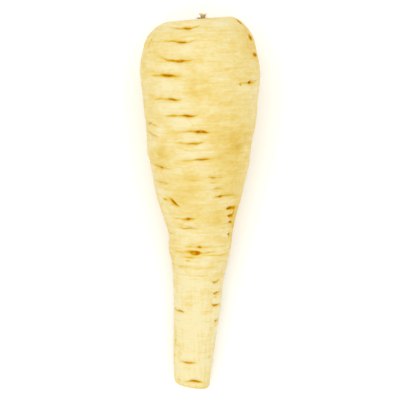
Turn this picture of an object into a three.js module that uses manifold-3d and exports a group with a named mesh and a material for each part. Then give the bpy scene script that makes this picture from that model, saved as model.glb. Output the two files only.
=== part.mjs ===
// A trimmed parsnip lying on its side, in millimetres, with +Z up.
//
// The root lies along Y, with its crown towards +Y and its cut tip towards -Y. It rests on a small flat
// spot under its weight, and its thin end is just clear of the surface. The origin is on that surface, in
// the middle of the root's length and breadth. The root grew as one piece, so it is one solid. What is left
// of its dry leaf stalks stands in the hollow of the crown, and is the second solid.
import * as THREE from "three";
import { mergeVertices } from "three/addons/utils/BufferGeometryUtils.js";
import Module from "manifold-3d";

const wasm = await Module();
wasm.setup();

// Driving dimensions.
const LENGTH = 182; // from the crown's rim to the cut tip, along the root's own axis
const BREADTH = 58; // across the widest place, just under the shoulders
const ROUNDNESS = 0.97; // height of a section as a share of its breadth
const TILT = THREE.MathUtils.degToRad(7); // slope of the axis down to the thin end, as the root lies
const REST_ALONG = 0.33; // share of LENGTH where the weight lies, and so the flat spot
const FLAT_DEPTH = 0.7; // how far the underside is pressed flat

// Relief of the skin.
const CREASE_DEPTH = 0.6;
const CREASE_WIDTH = 1.3; // half the width of a crease, where it is about a third as deep
const CREASE_BOW = 0.8; // how far the ends of a crease bend back towards the crown
const CREASE_FADE = 1.3; // how fast a crease grows shallow towards its ends
const CREASE_END = 1.4; // where it is gone, as a share of its length to that side
const LIP_SHARE = 0.3; // height of the lips beside a crease, as a share of its depth
const PIT_DEPTH = 0.45; // further depth of the pit that a side root has left in a crease
const PIT_WIDTH = 2.4;
const WRINKLE_DEPTH = 0.22;
const WRINKLE_WIDTH = 1.1;
const WRINKLE_WANDER = 0.9; // how far a wrinkle strays to each side on its way round
const WRINKLE_CHANGE = 0.35; // how much its depth changes on its way round, as a share
const LOBE_SHARE = 0.018; // low swellings round the section, as a share of its radius
const LEAF_SCAR_HEIGHT = 0.3; // rings that old leaves have left in the hollow of the crown
const LEAF_SCAR_SPACING = 2.3;
const LEAF_SCAR_FROM = 4.9; // distance from the axis where the first ring starts to rise
const LEAF_SCAR_LOBES = 5; // each ring is higher and lower this many times round
const LEAF_SCAR_CHANGE = 0.25; // by this share to each side

// Fineness of the skin's mesh.
const ROW_SPACING = 1.45;
const COLUMNS = 40;

// The two side edges of the root, seen from above. Each row is one section, from the middle of the crown's
// hollow, over the rim and down to the middle of the cut: how far along and how far out the left edge is,
// and then the right. Along is a share of LENGTH from the rim. Out is a share of half of BREADTH.
const OUTLINE = [
  [0.02, 0.048, 0.02, 0.048], // middle of the hollow
  [0.02, -0.17, 0.02, 0.24], // its flat floor
  [0.0165, -0.32, 0.008, 0.4],
  [0.0135, -0.46, 0, 0.52], // crest of the rim
  [0.0165, -0.61, 0.0085, 0.665],
  [0.034, -0.775, 0.0275, 0.783],
  [0.061, -0.9, 0.0535, 0.888], // shoulders
  [0.1, -0.968, 0.099, 0.962],
  [0.14, -1, 0.14, 1], // widest place
  [0.188, -0.978, 0.19, 0.993],
  [0.241, -0.945, 0.239, 0.968],
  [0.292, -0.908, 0.29, 0.932],
  [0.341, -0.897, 0.343, 0.868],
  [0.394, -0.836, 0.392, 0.828],
  [0.446, -0.777, 0.446, 0.754],
  [0.498, -0.697, 0.498, 0.677],
  [0.545, -0.608, 0.545, 0.604],
  [0.583, -0.535, 0.583, 0.557], // knee, where the root narrows to its tail
  [0.624, -0.536, 0.624, 0.53],
  [0.663, -0.478, 0.663, 0.474],
  [0.721, -0.455, 0.721, 0.39],
  [0.807, -0.447, 0.807, 0.337],
  [0.891, -0.452, 0.891, 0.256],
  [0.962, -0.446, 0.962, 0.2],
  [0.982, -0.441, 0.99, 0.176],
  [0.993, -0.42, 1.004, 0.165], // rounded edge of the cut
  [0.997, -0.34, 1.009, 0.115],
  [1.003, -0.13, 1.003, -0.13], // middle of the cut
];
const CREST = 3; // row of the rim's crest in OUTLINE
const FADE_ROWS = 1.5; // past the crest, the relief takes this many rows to reach its full depth
const CUT_EDGE = 24; // row where the edge of the cut begins

// Creases that side roots have left across the upper side. Along is a share of LENGTH, turn is in degrees
// from the top towards the right, and left and right are how far the crease runs to each side of its pit,
// in millimetres.
const UPPER_CREASES = [
  { along: 0.0298, turn: -16.5, left: 13, right: 7 },
  { along: 0.066, turn: -19, left: 14, right: 8 },
  { along: 0.116, turn: -19.5, left: 15, right: 11 },
  { along: 0.1535, turn: -33.5, left: 12, right: 9 },
  { along: 0.214, turn: -29, left: 15, right: 6 },
  { along: 0.2555, turn: -13.5, left: 16, right: 7 },
  { along: 0.297, turn: 0.5, left: 17, right: 5 },
  { along: 0.328, turn: -7, left: 10, right: 7 },
  { along: 0.3705, turn: 3, left: 13, right: 8 },
  { along: 0.421, turn: 17, left: 3, right: 7 },
  { along: 0.45, turn: 25, left: 11, right: 4 },
  { along: 0.47, turn: 30, left: 5, right: 16 },
  { along: 0.505, turn: 50, left: 3, right: 6 },
  { along: 0.527, turn: 55, left: 3, right: 3 },
  { along: 0.544, turn: 60.5, left: 7, right: 3 },
  { along: 0.5805, turn: 66, left: 3, right: 3 },
  { along: 0.708, turn: 45, left: 3, right: 3 },
  { along: 0.74, turn: 52, left: 3, right: 6 },
  { along: 0.7735, turn: 52, left: 3, right: 8 },
  { along: 0.82, turn: 66, left: 3, right: 3 },
  { along: 0.281, turn: -71, left: 7, right: 5 },
  { along: 0.311, turn: -61, left: 10, right: 7 },
  { along: 0.394, turn: -52.5, left: 17, right: 9 },
  { along: 0.437, turn: -52, left: 10, right: 6 },
  { along: 0.489, turn: -38.5, left: 5, right: 5 },
  { along: 0.532, turn: -18.5, left: 10, right: 5 },
  { along: 0.558, turn: -17, left: 7, right: 8 },
  { along: 0.607, turn: -1, left: 10, right: 16 },
  { along: 0.623, turn: -8.5, left: 16, right: 15 },
  { along: 0.79, turn: -50, left: 10, right: 4 },
  { along: 0.929, turn: -15, left: 6, right: 5 },
  { along: 0.982, turn: 9, left: 6, right: 5 },
  { along: 0.171, turn: 56, left: 11, right: 14 },
  { along: 0.338, turn: 52, left: 6, right: 9 },
];

// Side roots leave a root in four rows. The rows wind round it by this many degrees, between these shares
// of LENGTH.
const ROWS_OF_SIDE_ROOTS = 4;
const WIND_START = -25;
const WIND = 83;
const WIND_FROM = 0.2;
const WIND_TO = 0.55;
const UNSEEN_TURN = 88; // past this turn the creases follow the rule below, and not UPPER_CREASES
const UNSEEN_SPACING = 0.05; // their mean spacing along a row, as a share of LENGTH
const UNSEEN_SCATTER = 8; // how far they stray from their row, in degrees
const UNSEEN_SHORTEST = 4; // how far one runs to each side at the crown
const UNSEEN_LONGEST = 13;
const UNSEEN_AT_TIP = 0.4; // how long one is at the tip, as a share of that
const FLAT_FROM = 0.2; // creases stay off the flat spot, which lies between these shares of LENGTH
const FLAT_TO = 0.52;
const FLAT_TURN = 160; // and past this turn
const SEED = 7;

// Shallow wrinkles that run all the way round, mostly at the knee.
const WRINKLES_ALONG = [0.523, 0.56, 0.598, 0.618, 0.634, 0.652, 0.672, 0.69];

// What is left of the leaf stalks.
const STALK_GAP = 0.3; // between the floor of the hollow and the dry base of the stalks
const STALK_BASE_RADIUS = 3.1;
const STALK_BASE_HEIGHT = 1.1;
const STALK_STUBS = 8;
const STALK_THICKNESS = 0.75;
const INNER_STUB_RADIUS = 1.5;
const OUTER_STUB_RADIUS = 2.7;
const INNER_STUB_HEIGHT = 3.7;
const OUTER_STUB_HEIGHT = 2.6;
const STUB_FOOT = 0.3; // height where the stubs start, well inside their base
const BUD_RADIUS = 1;
const BUD_HEIGHT = 4.9;
const FIBRES = 6;
const FIBRE_RADIUS = 0.3;
const FIBRE_LENGTH = 1.9;
const FIBRES_AT = 4.2; // height on the bud where they spring from
const GOLDEN_ANGLE = Math.PI * (3 - Math.sqrt(5)); // from one leaf to the next

const CREAM = new THREE.MeshStandardMaterial({ color: 0xf3dfa2, roughness: 0.55, metalness: 0 });
const DRY_STALK = new THREE.MeshStandardMaterial({ color: 0x8f7a52, roughness: 0.85, metalness: 0 });

const radians = THREE.MathUtils.degToRad;
const bell = (x) => Math.exp(-x * x);

// A seeded draw between two values.
function drawer(seed) {
  let state = seed >>> 0;
  return (low, high) => {
    state = (Math.imul(state, 1664525) + 1013904223) >>> 0;
    return low + ((high - low) * state) / 2 ** 32;
  };
}

// The signed difference of two angles, between minus pi and pi.
function angleBetween(a, b) {
  return Math.atan2(Math.sin(a - b), Math.cos(a - b));
}

// One side edge as a smooth curve, in the root's own frame: X to the right, -Y along the root, Z up.
function edgeCurve(column) {
  const points = OUTLINE.map((row) => {
    return new THREE.Vector3((row[column + 1] * BREADTH) / 2, -row[column] * LENGTH, 0);
  });
  return new THREE.CatmullRomCurve3(points, false, "centripetal");
}

const leftEdge = edgeCurve(0);
const rightEdge = edgeCurve(2);

// The smooth skin without relief. place runs from 0 in the middle of the hollow to 1 in the middle of the
// cut.
function smoothSkin(place, turn) {
  const left = leftEdge.getPoint(place);
  const right = rightEdge.getPoint(place);
  const reach = right.clone().sub(left).divideScalar(2);
  const radius = reach.length();
  const middle = left.add(right).divideScalar(2);
  const along = -middle.y / LENGTH;
  const twist = along - REST_ALONG;
  // Three swellings wind slowly one way along the root, and two lower ones wind the other way.
  const lobes = 1 + LOBE_SHARE * (Math.cos(3 * turn + 5 * twist) - 0.6 * Math.cos(2 * turn - 9 * twist));
  const point = middle.clone().addScaledVector(reach, Math.sin(turn));
  point.z = ROUNDNESS * radius * Math.cos(turn) * lobes;
  return { point, along, radius };
}

// The skin's outward direction at a place.
function outward(place, turn) {
  const step = 1e-3;
  const from = THREE.MathUtils.clamp(place - step, 0, 1);
  const to = THREE.MathUtils.clamp(place + step, 0, 1);
  const down = smoothSkin(to, turn).point.sub(smoothSkin(from, turn).point);
  const round = smoothSkin(place, turn + step).point.sub(smoothSkin(place, turn - step).point);
  return down.cross(round).normalize();
}

// Where the rows of side roots lie, in degrees from the top.
function windingAt(along) {
  return WIND_START + WIND * THREE.MathUtils.smoothstep(along, WIND_FROM, WIND_TO);
}

// Creases on the sides and the underside, placed by the rule of the four rows.
function unseenCreases() {
  const draw = drawer(SEED);
  const creases = [];
  for (let row = 0; row < ROWS_OF_SIDE_ROOTS; row++) {
    let along = draw(0.06, 0.09);
    while (along < 0.96) {
      const scatter = draw(-UNSEEN_SCATTER, UNSEEN_SCATTER);
      const turn = windingAt(along) + (360 / ROWS_OF_SIDE_ROOTS) * row + scatter;
      const around = THREE.MathUtils.radToDeg(angleBetween(radians(turn), 0));
      const girth = THREE.MathUtils.lerp(1, UNSEEN_AT_TIP, along);
      const left = draw(UNSEEN_SHORTEST, UNSEEN_LONGEST) * girth;
      const right = draw(UNSEEN_SHORTEST, UNSEEN_LONGEST) * girth;
      const onFlat = Math.abs(around) > FLAT_TURN && along > FLAT_FROM && along < FLAT_TO;
      if (Math.abs(around) > UNSEEN_TURN && !onFlat) creases.push({ along, turn: around, left, right });
      along += UNSEEN_SPACING * draw(0.6, 1.5);
    }
  }
  return creases;
}

const CREASES = [...UPPER_CREASES, ...unseenCreases()];

// How far one crease moves the skin out of its smooth shape, in millimetres.
function creaseRelief(crease, along, turn, radius) {
  const across = angleBetween(turn, radians(crease.turn)) * radius;
  const share = across / (across < 0 ? crease.left : crease.right);
  if (Math.abs(share) > CREASE_END) return 0;
  const down = (along - crease.along) * LENGTH + CREASE_BOW * share * share;
  if (Math.abs(down) > 4 * CREASE_WIDTH) return 0;
  const groove = bell(down / CREASE_WIDTH);
  const lips = bell((Math.abs(down) - 2 * CREASE_WIDTH) / CREASE_WIDTH);
  const pit = groove * bell(across / PIT_WIDTH);
  return -CREASE_DEPTH * bell(CREASE_FADE * share) * (groove - LIP_SHARE * lips) - PIT_DEPTH * pit;
}

// The whole relief of the skin at a place, in millimetres.
function relief(place, along, turn, radius) {
  const row = place * (OUTLINE.length - 1);
  if (row < CREST) {
    const height = LEAF_SCAR_HEIGHT * (1 - LEAF_SCAR_CHANGE * (1 - Math.cos(LEAF_SCAR_LOBES * turn)));
    const rise = THREE.MathUtils.smoothstep(radius, LEAF_SCAR_FROM, LEAF_SCAR_FROM + LEAF_SCAR_SPACING);
    return height * rise * Math.cos((2 * Math.PI * radius) / LEAF_SCAR_SPACING + turn);
  }
  if (row > CUT_EDGE) return 0;
  let height = 0;
  for (const crease of CREASES) height += creaseRelief(crease, along, turn, radius);
  for (const start of WRINKLES_ALONG) {
    const down = (along - start) * LENGTH + WRINKLE_WANDER * Math.sin(2 * turn + 40 * start);
    const share = 1 - WRINKLE_CHANGE + WRINKLE_CHANGE * Math.cos(turn + 25 * start);
    height -= WRINKLE_DEPTH * share * bell(down / WRINKLE_WIDTH);
  }
  return height * THREE.MathUtils.smoothstep(row, CREST, CREST + FADE_ROWS);
}

// The skin with its relief, in the root's own frame.
function skin(place, turn) {
  const { point, along, radius } = smoothSkin(place, turn);
  return point.addScaledVector(outward(place, turn), relief(place, along, turn, radius));
}

// The places of the skin's sections, about ROW_SPACING apart, without the two ends.
function sectionPlaces() {
  const last = OUTLINE.length - 1;
  const places = [];
  for (let row = 0; row < last; row++) {
    const from = leftEdge.points[row].clone().add(rightEdge.points[row]);
    const to = leftEdge.points[row + 1].clone().add(rightEdge.points[row + 1]);
    const sideways = rightEdge.points[row + 1].x - leftEdge.points[row + 1].x;
    const before = rightEdge.points[row].x - leftEdge.points[row].x;
    const distance = Math.hypot((to.y - from.y) / 2, (sideways - before) / 2);
    const steps = Math.max(2, Math.round(distance / ROW_SPACING));
    for (let step = 0; step < steps; step++) places.push((row + step / steps) / last);
  }
  return places.slice(1);
}

// A closed skin from rings of points and a point at each end.
function closedSkin(rings, firstEnd, lastEnd) {
  const columns = rings[0].length;
  const points = [...rings.flat(), firstEnd, lastEnd];
  const first = points.length - 2;
  const last = points.length - 1;
  const start = (rings.length - 1) * columns;
  const index = [];
  for (let column = 0; column < columns; column++) {
    const next = (column + 1) % columns;
    index.push(first, column, next);
    index.push(last, start + next, start + column);
    for (let ring = 0; ring + 1 < rings.length; ring++) {
      const here = ring * columns;
      const below = here + columns;
      index.push(here + column, below + column, here + next);
      index.push(here + next, below + column, below + next);
    }
  }
  const geometry = new THREE.BufferGeometry().setFromPoints(points);
  geometry.setIndex(index);
  geometry.computeVertexNormals();
  return geometry;
}

// The root, laid down on its side and pressed flat where it rests.
function rootGeometry() {
  const turns = Array.from({ length: COLUMNS }, (_, column) => (2 * Math.PI * column) / COLUMNS);
  const rings = sectionPlaces().map((place) => turns.map((turn) => skin(place, turn)));
  const geometry = closedSkin(rings, skin(0, 0), skin(1, 0));
  geometry.rotateX(TILT);
  geometry.computeBoundingBox();
  const lift = -geometry.boundingBox.min.z - FLAT_DEPTH;
  geometry.translate(0, 0, lift);
  const position = geometry.attributes.position;
  for (let i = 0; i < position.count; i++) position.setZ(i, Math.max(position.getZ(i), 0));
  geometry.computeVertexNormals();
  return { geometry, lift };
}

// A three.js geometry as a manifold-3d solid.
function solidOf(geometry) {
  const bare = geometry.clone();
  bare.deleteAttribute("normal");
  bare.deleteAttribute("uv");
  const merged = mergeVertices(bare);
  return new wasm.Manifold(
    new wasm.Mesh({
      numProp: 3,
      vertProperties: merged.attributes.position.array,
      triVerts: new Uint32Array(merged.index.array),
    }),
  );
}

// A manifold-3d solid as a three.js geometry.
function geometryOf(solid) {
  const mesh = solid.getMesh();
  const geometry = new THREE.BufferGeometry();
  geometry.setAttribute("position", new THREE.BufferAttribute(mesh.vertProperties, 3));
  geometry.setIndex(new THREE.BufferAttribute(mesh.triVerts, 1));
  geometry.computeVertexNormals();
  return geometry;
}

// The low dry plate that the stalks stand on, with its foot at Z 0.
function stalkBase() {
  const profile = [
    new THREE.Vector2(0, 0),
    new THREE.Vector2(0.9 * STALK_BASE_RADIUS, 0),
    new THREE.Vector2(STALK_BASE_RADIUS, 0.35 * STALK_BASE_HEIGHT),
    new THREE.Vector2(0.85 * STALK_BASE_RADIUS, 0.8 * STALK_BASE_HEIGHT),
    new THREE.Vector2(0.5 * STALK_BASE_RADIUS, STALK_BASE_HEIGHT),
    new THREE.Vector2(0, STALK_BASE_HEIGHT),
  ];
  return new THREE.LatheGeometry(profile, 20).rotateX(Math.PI / 2);
}

// The cut base of one leaf stalk, a curved wall that clasps the bud. It stands on Z 0.
function stalkStub(radius, halfAngle, height) {
  const shape = new THREE.Shape();
  shape.absarc(0, 0, radius, -halfAngle, halfAngle, false);
  shape.absarc(0, 0, radius - STALK_THICKNESS, halfAngle, -halfAngle, true);
  shape.closePath();
  return new THREE.ExtrudeGeometry(shape, { depth: height, bevelEnabled: false, curveSegments: 6 });
}

// The bud in the middle of the stalks.
function bud() {
  const profile = [
    new THREE.Vector2(0, 0),
    new THREE.Vector2(1.3 * BUD_RADIUS, 0),
    new THREE.Vector2(BUD_RADIUS, 0.7 * BUD_HEIGHT),
    new THREE.Vector2(1.55 * BUD_RADIUS, 0.94 * BUD_HEIGHT), // frayed, so it flares
    new THREE.Vector2(1.2 * BUD_RADIUS, BUD_HEIGHT),
    new THREE.Vector2(0, BUD_HEIGHT),
  ];
  return new THREE.LatheGeometry(profile, 10).rotateX(Math.PI / 2);
}

// All that is left of the leaf stalks, standing on Z 0.
function stalksGeometry() {
  const draw = drawer(SEED + 1);
  let whole = solidOf(stalkBase()).add(solidOf(bud()));
  for (let i = 0; i < STALK_STUBS; i++) {
    const share = i / (STALK_STUBS - 1);
    const radius = THREE.MathUtils.lerp(INNER_STUB_RADIUS, OUTER_STUB_RADIUS, share);
    const fall = Math.sqrt(share); // the stubs step down quickly from the innermost ones
    const height = THREE.MathUtils.lerp(INNER_STUB_HEIGHT, OUTER_STUB_HEIGHT, fall) + draw(-0.3, 0.3);
    const stub = stalkStub(radius, draw(0.55, 0.95), height);
    stub.translate(0, 0, STUB_FOOT);
    stub.rotateZ(i * GOLDEN_ANGLE);
    whole = whole.add(solidOf(stub));
  }
  for (let i = 0; i < FIBRES; i++) {
    const fibre = new THREE.CylinderGeometry(FIBRE_RADIUS, FIBRE_RADIUS, FIBRE_LENGTH, 5);
    fibre.rotateX(Math.PI / 2);
    fibre.translate(0, 0, FIBRE_LENGTH / 3);
    fibre.rotateY(draw(0.6, 1.1));
    fibre.rotateZ((2 * Math.PI * i) / FIBRES + draw(-0.3, 0.3));
    fibre.translate(0, 0, FIBRES_AT);
    whole = whole.add(solidOf(fibre));
  }
  return geometryOf(whole);
}

const parsnip = new THREE.Group();
parsnip.name = "parsnip";

const { geometry, lift } = rootGeometry();
const root = new THREE.Mesh(geometry, CREAM);
root.name = "root";
parsnip.add(root);

// The stalks stand along the root's own axis, in the middle of the hollow.
const floor = smoothSkin(0, 0).point;
const stalks = new THREE.Mesh(stalksGeometry(), DRY_STALK);
stalks.name = "leaf_stalk_stubs";
stalks.rotation.x = -Math.PI / 2;
stalks.position.set(floor.x, floor.y + STALK_GAP, floor.z);
const crown = new THREE.Group();
crown.rotation.x = TILT;
crown.position.z = lift;
crown.add(stalks);
parsnip.add(crown);

// The origin goes to the middle of the length and the breadth.
const box = new THREE.Box3().setFromObject(parsnip);
const centre = box.getCenter(new THREE.Vector3());
parsnip.position.set(-centre.x, -centre.y, 0);

export default parsnip;
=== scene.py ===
"""A trimmed raw parsnip, laid on its side on a pale studio floor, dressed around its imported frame.

The root's fine skin follows the same rules as its solid: two side edges, creases where side roots grew, and
a small flat spot that it rests on. Its stains are worked out with the relief, so each brown line lies in
its own groove. The root lies along Y with its crown towards +Y, and +Z is up. Lengths are in metres, apart
from those in the lists and named values at the top, which are in millimetres.
"""

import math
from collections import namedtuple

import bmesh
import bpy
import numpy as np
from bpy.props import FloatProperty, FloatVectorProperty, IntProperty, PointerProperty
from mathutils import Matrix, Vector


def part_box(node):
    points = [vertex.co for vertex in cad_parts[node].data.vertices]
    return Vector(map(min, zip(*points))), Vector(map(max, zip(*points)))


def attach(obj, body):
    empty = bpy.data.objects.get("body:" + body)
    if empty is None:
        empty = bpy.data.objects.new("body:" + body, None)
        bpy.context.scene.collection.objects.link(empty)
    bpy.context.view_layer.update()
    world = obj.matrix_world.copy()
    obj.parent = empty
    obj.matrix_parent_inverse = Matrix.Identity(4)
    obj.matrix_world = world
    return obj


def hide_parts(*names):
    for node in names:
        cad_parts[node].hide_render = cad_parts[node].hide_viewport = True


bl_info = {
    "name": "Parsnip",
    "version": (1, 1, 0),
    "blender": (4, 5, 0),
    "location": "3D View > Sidebar > Parsnip",
    "description": "Builds a trimmed parsnip with creases, root scars and dry leaf stalks in a plain studio",
    "category": "Add Mesh",
}

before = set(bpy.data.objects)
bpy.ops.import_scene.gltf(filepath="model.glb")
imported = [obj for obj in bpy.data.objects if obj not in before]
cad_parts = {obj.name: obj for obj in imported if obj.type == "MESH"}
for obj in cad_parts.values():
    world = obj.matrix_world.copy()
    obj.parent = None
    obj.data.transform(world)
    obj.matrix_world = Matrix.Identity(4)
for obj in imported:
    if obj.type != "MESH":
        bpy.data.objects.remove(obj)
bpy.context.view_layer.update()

MM = 0.001
BODY = "root"
GOLDEN_ANGLE = math.pi * (3 - math.sqrt(5))  # from one leaf of the crown to the next
SEED = 7
SENSOR = 36  # width of the camera's sensor in millimetres

# The two side edges of the root, seen from above. Each row is one section, from the middle of the crown's
# hollow, over the rim and down to the middle of the cut: how far along and how far out the left edge is,
# then the right. Along is a share of the length from the rim. Out is a share of half of the breadth.
OUTLINE = (
    (0.02, 0.048, 0.02, 0.048),  # middle of the hollow
    (0.02, -0.17, 0.02, 0.24),  # its flat floor
    (0.0165, -0.32, 0.008, 0.4),
    (0.0135, -0.46, 0, 0.52),  # crest of the rim
    (0.0165, -0.61, 0.0085, 0.665),
    (0.034, -0.775, 0.0275, 0.783),
    (0.061, -0.9, 0.0535, 0.888),  # shoulders
    (0.1, -0.968, 0.099, 0.962),
    (0.14, -1, 0.14, 1),  # widest place
    (0.188, -0.978, 0.19, 0.993),
    (0.241, -0.945, 0.239, 0.968),
    (0.292, -0.908, 0.29, 0.932),
    (0.341, -0.897, 0.343, 0.868),
    (0.394, -0.836, 0.392, 0.828),
    (0.446, -0.777, 0.446, 0.754),
    (0.498, -0.697, 0.498, 0.677),
    (0.545, -0.608, 0.545, 0.604),
    (0.583, -0.535, 0.583, 0.557),  # knee, where the root narrows to its tail
    (0.624, -0.536, 0.624, 0.53),
    (0.663, -0.478, 0.663, 0.474),
    (0.721, -0.455, 0.721, 0.39),
    (0.807, -0.447, 0.807, 0.337),
    (0.891, -0.452, 0.891, 0.256),
    (0.962, -0.446, 0.962, 0.2),
    (0.982, -0.441, 0.99, 0.176),
    (0.993, -0.42, 1.004, 0.165),  # rounded edge of the cut
    (0.997, -0.34, 1.009, 0.115),
    (1.003, -0.13, 1.003, -0.13),  # middle of the cut
)
CREST = 3  # row of the rim's crest in OUTLINE
CUT_EDGE = 24  # row where the edge of the cut begins
CUT_FACE = 26  # row inside which the cut face is flat

# A crease lies across the root. Along is a share of the length, and turn is in degrees from the top towards
# the right. Left, right and core are half-lengths in millimetres. Dark and line are the strengths of the
# stain in its core and along the thin line. Slant is how far the line drops towards the tip for each
# millimetre to the right, bow is how many millimetres its ends bend back towards the crown, and eye is the
# half-height of the oval scar in its core, where the scar is big enough to see.
Crease = namedtuple("Crease", "along turn left right core dark line slant bow eye", defaults=(0, 0.8, 0))
UPPER_CREASES = (
    Crease(0.0298, -16.5, 13, 7, 1.9, 0.6, 0.34, bow=1.4),
    Crease(0.0655, -19, 14, 8, 2.0, 0.56, 0.38, slant=0.04, bow=1.5),
    Crease(0.1152, -19.5, 15, 11, 1.7, 0.62, 0.4, slant=0.04, bow=2.0, eye=0.6),
    Crease(0.1535, -33.5, 12, 9, 3.2, 0.6, 0.38, bow=0.3),
    Crease(0.214, -29, 15, 6, 1.8, 0.62, 0.4, bow=-0.4),
    Crease(0.2555, -13.5, 16, 7, 2.3, 0.6, 0.42, bow=-0.4),
    Crease(0.297, 0.5, 17, 5, 2.6, 0.84, 0.36, bow=-0.3),
    Crease(0.328, -7, 10, 7, 2.6, 0.32, 0.38, slant=-0.05),
    Crease(0.3705, 3, 13, 8, 3.0, 0.42, 0.34, slant=-0.08),
    Crease(0.421, 17, 3, 7, 1.0, 0.3, 0.28),
    Crease(0.45, 25, 11, 4, 2.2, 0.16, 0.16, bow=-0.6),
    Crease(0.47, 30, 5, 16, 0.9, 0.66, 0.36, bow=-0.6),
    Crease(0.505, 50, 3, 6, 1.6, 0.96, 0.72, bow=-0.3),
    Crease(0.527, 55, 3, 3, 1.4, 0.84, 0.4),
    Crease(0.544, 60.5, 7, 3, 1.3, 0.7, 0.4, bow=-0.9),
    Crease(0.5805, 66, 3, 3, 0.9, 0.5, 0.1),
    Crease(0.708, 45, 3, 3, 1.9, 0.36, 0.24),
    Crease(0.74, 52, 3, 6, 1.9, 0.34, 0.28),
    Crease(0.7735, 52, 3, 8, 2.2, 0.46, 0.36),
    Crease(0.82, 66, 3, 3, 1.7, 0.38, 0.2),
    Crease(0.281, -71, 7, 5, 1.6, 0.28, 0.14),
    Crease(0.311, -61, 10, 7, 5.0, 0.16, 0.1, slant=0.18),
    Crease(0.394, -52.5, 17, 9, 1.2, 0.5, 0.36, slant=0.12, bow=0.4),
    Crease(0.437, -52, 10, 6, 3.5, 0.16, 0.24, bow=1),
    Crease(0.489, -38.5, 5, 5, 2.0, 0.2, 0.1, slant=0.6),
    Crease(0.532, -18.5, 10, 5, 1.0, 0.78, 0.4),
    Crease(0.558, -17, 7, 8, 3.5, 0.18, 0.18),
    Crease(0.607, -1, 10, 16, 0.9, 0.58, 0.24, bow=-0.5),
    Crease(0.623, -8.5, 16, 15, 2.5, 0.62, 0.28, eye=1.1),
    Crease(0.79, -50, 10, 4, 2.4, 0.3, 0.34, slant=0.06),
    Crease(0.929, -15, 6, 5, 2.6, 0.4, 0.24, slant=0.1, bow=0.2),
    Crease(0.982, 9, 6, 5, 2.6, 0.56, 0.36, bow=-0.4),
    Crease(0.171, 56, 11, 14, 1.1, 0.96, 0.3, slant=-0.09, bow=0.3),
    Crease(0.338, 52, 6, 9, 2.2, 0.12, 0.12),
)

# Side roots leave a root in four rows, which wind round it by this many degrees between these shares of its
# length.
ROWS_OF_SIDE_ROOTS = 4
WIND_START = -25
WIND = 83
WIND_FROM = 0.2
WIND_TO = 0.55
UNSEEN_TURN = 88  # past this turn the creases follow the rule of the rows
UNSEEN_SPACING = 0.05  # their mean spacing along a row, as a share of the length
UNSEEN_SCATTER = 8  # how far they stray from their row, in degrees
UNSEEN_SHORTEST = 4  # how far one runs to each side at the crown
UNSEEN_LONGEST = 13
UNSEEN_AT_TIP = 0.4  # how long one is at the tip, as a share of that
UNSEEN_FIRST = (0.06, 0.09)  # where the first one of a row lies
UNSEEN_LAST = 0.96
UNSEEN_SPREAD = (0.6, 1.5)  # how much their spacing varies, as a share of its mean
UNSEEN_STAINS = ((1.0, 2.8), (0.4, 0.95), (0.2, 0.45))  # between which their core, dark and line are drawn
UNSEEN_SLANT = (-0.1, 0.1)
UNSEEN_BOW = (-0.6, 1.6)
FLAT_FROM = 0.2  # creases stay off the flat spot, between these shares of the length
FLAT_TO = 0.52
FLAT_TURN = 160  # and past this turn
REST_ALONG = 0.33  # share of the length where the weight lies

# Relief, apart from the sizes that a user can change.
CROWDING = 0.22  # how much closer together the mesh's columns lie on the upper side, as a share
LOBE_SHARE = 0.018  # low swellings round the section, as a share of its radius
CREASE_FADE = 1.3  # how fast a crease grows shallow towards its ends
CREASE_END = 1.4  # where it is gone, as a share of its length to that side
LIP_SHARE = 0.3  # height of the lips beside a crease, as a share of its depth
SLIT_FADE = 1.1  # how fast its slit grows shallow towards its ends
CREASE_WAVES = ((0.18, 2.3), (0.1, 0.9))  # how far it strays to each side, and in waves of what radius
KNEE = 0.6  # where the root narrows to its tail, as a share of the length
WRINKLES_ALONG = (0.523, 0.56, 0.598, 0.618, 0.634, 0.652, 0.672, 0.69)  # most of them at the knee
WRINKLE_WANDER = 0.9  # how far a wrinkle strays to each side on its way round
WRINKLE_CHANGE = 0.35  # how much its depth changes on its way round, as a share
HAIRLINES_AT_KNEE = 0.5  # this share of the hairlines lies round the knee
HAIRLINE_WIDTH = 0.33  # half the width of a hairline
HAIRLINE_REACH = (1.5, 9)  # half their length at the crown
HAIRLINE_DEPTH = (0.04, 0.12)
HAIRLINE_BEND = (-0.5, 0.8)  # how far their ends bend back towards the crown
HAIRLINE_STAIN = (0.04, 0.22)
LUMP_WAVES = 14  # waves that add up to the uneven swellings
LUMP_SPREAD = 3.5  # about how high they add up, as a multiple of one wave
LEAF_SCAR_HEIGHT = 0.3  # rings that old leaves have left in the hollow of the crown
LEAF_SCAR_SPACING = 2.3
LEAF_SCAR_RISE = (4.9, 7.2)  # distances from the axis between which the rings rise to their height
LEAF_SCAR_LOBES = 5  # each ring is higher and lower this many times round
LEAF_SCAR_CHANGE = 0.25  # by this share to each side
FINE_RING_HEIGHT = 0.07  # finer rings between them
FINE_RING_SPACING = 0.9

# Stains of a crease and of a wrinkle.
EYE_RIM = (0.85, 0.28)  # where the rim of an oval scar lies and half its width, as shares of the scar
CORE_WIDTH = 0.3  # half the width of a pale core, and how much wider the darkest is
CORE_WIDENS = 0.28
LINE_WIDTH = 0.4  # half the width of the thin line
LINE_FADE = (0.5, 1.1)  # between these shares of the crease's length to that side it fades out
HALO_WIDTH = 1.1  # half the width of the golden skin round a core
HALO_LENGTH = 2.6  # and its length, as a multiple of the core's
HALO_SHARE = 0.24  # and its strength, as a share of the core's
SWOLLEN_BELOW = 4.5  # how far below a crease the skin is swollen and pale
SWOLLEN_WIDTH = 3.2
SWOLLEN_LENGTH = 1.1  # as a share of the crease's length to that side
SWOLLEN_PALE = 0.3
WRINKLE_STAIN = 0.1
WRINKLE_LINE = 0.5  # half the width of a wrinkle's line

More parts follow.
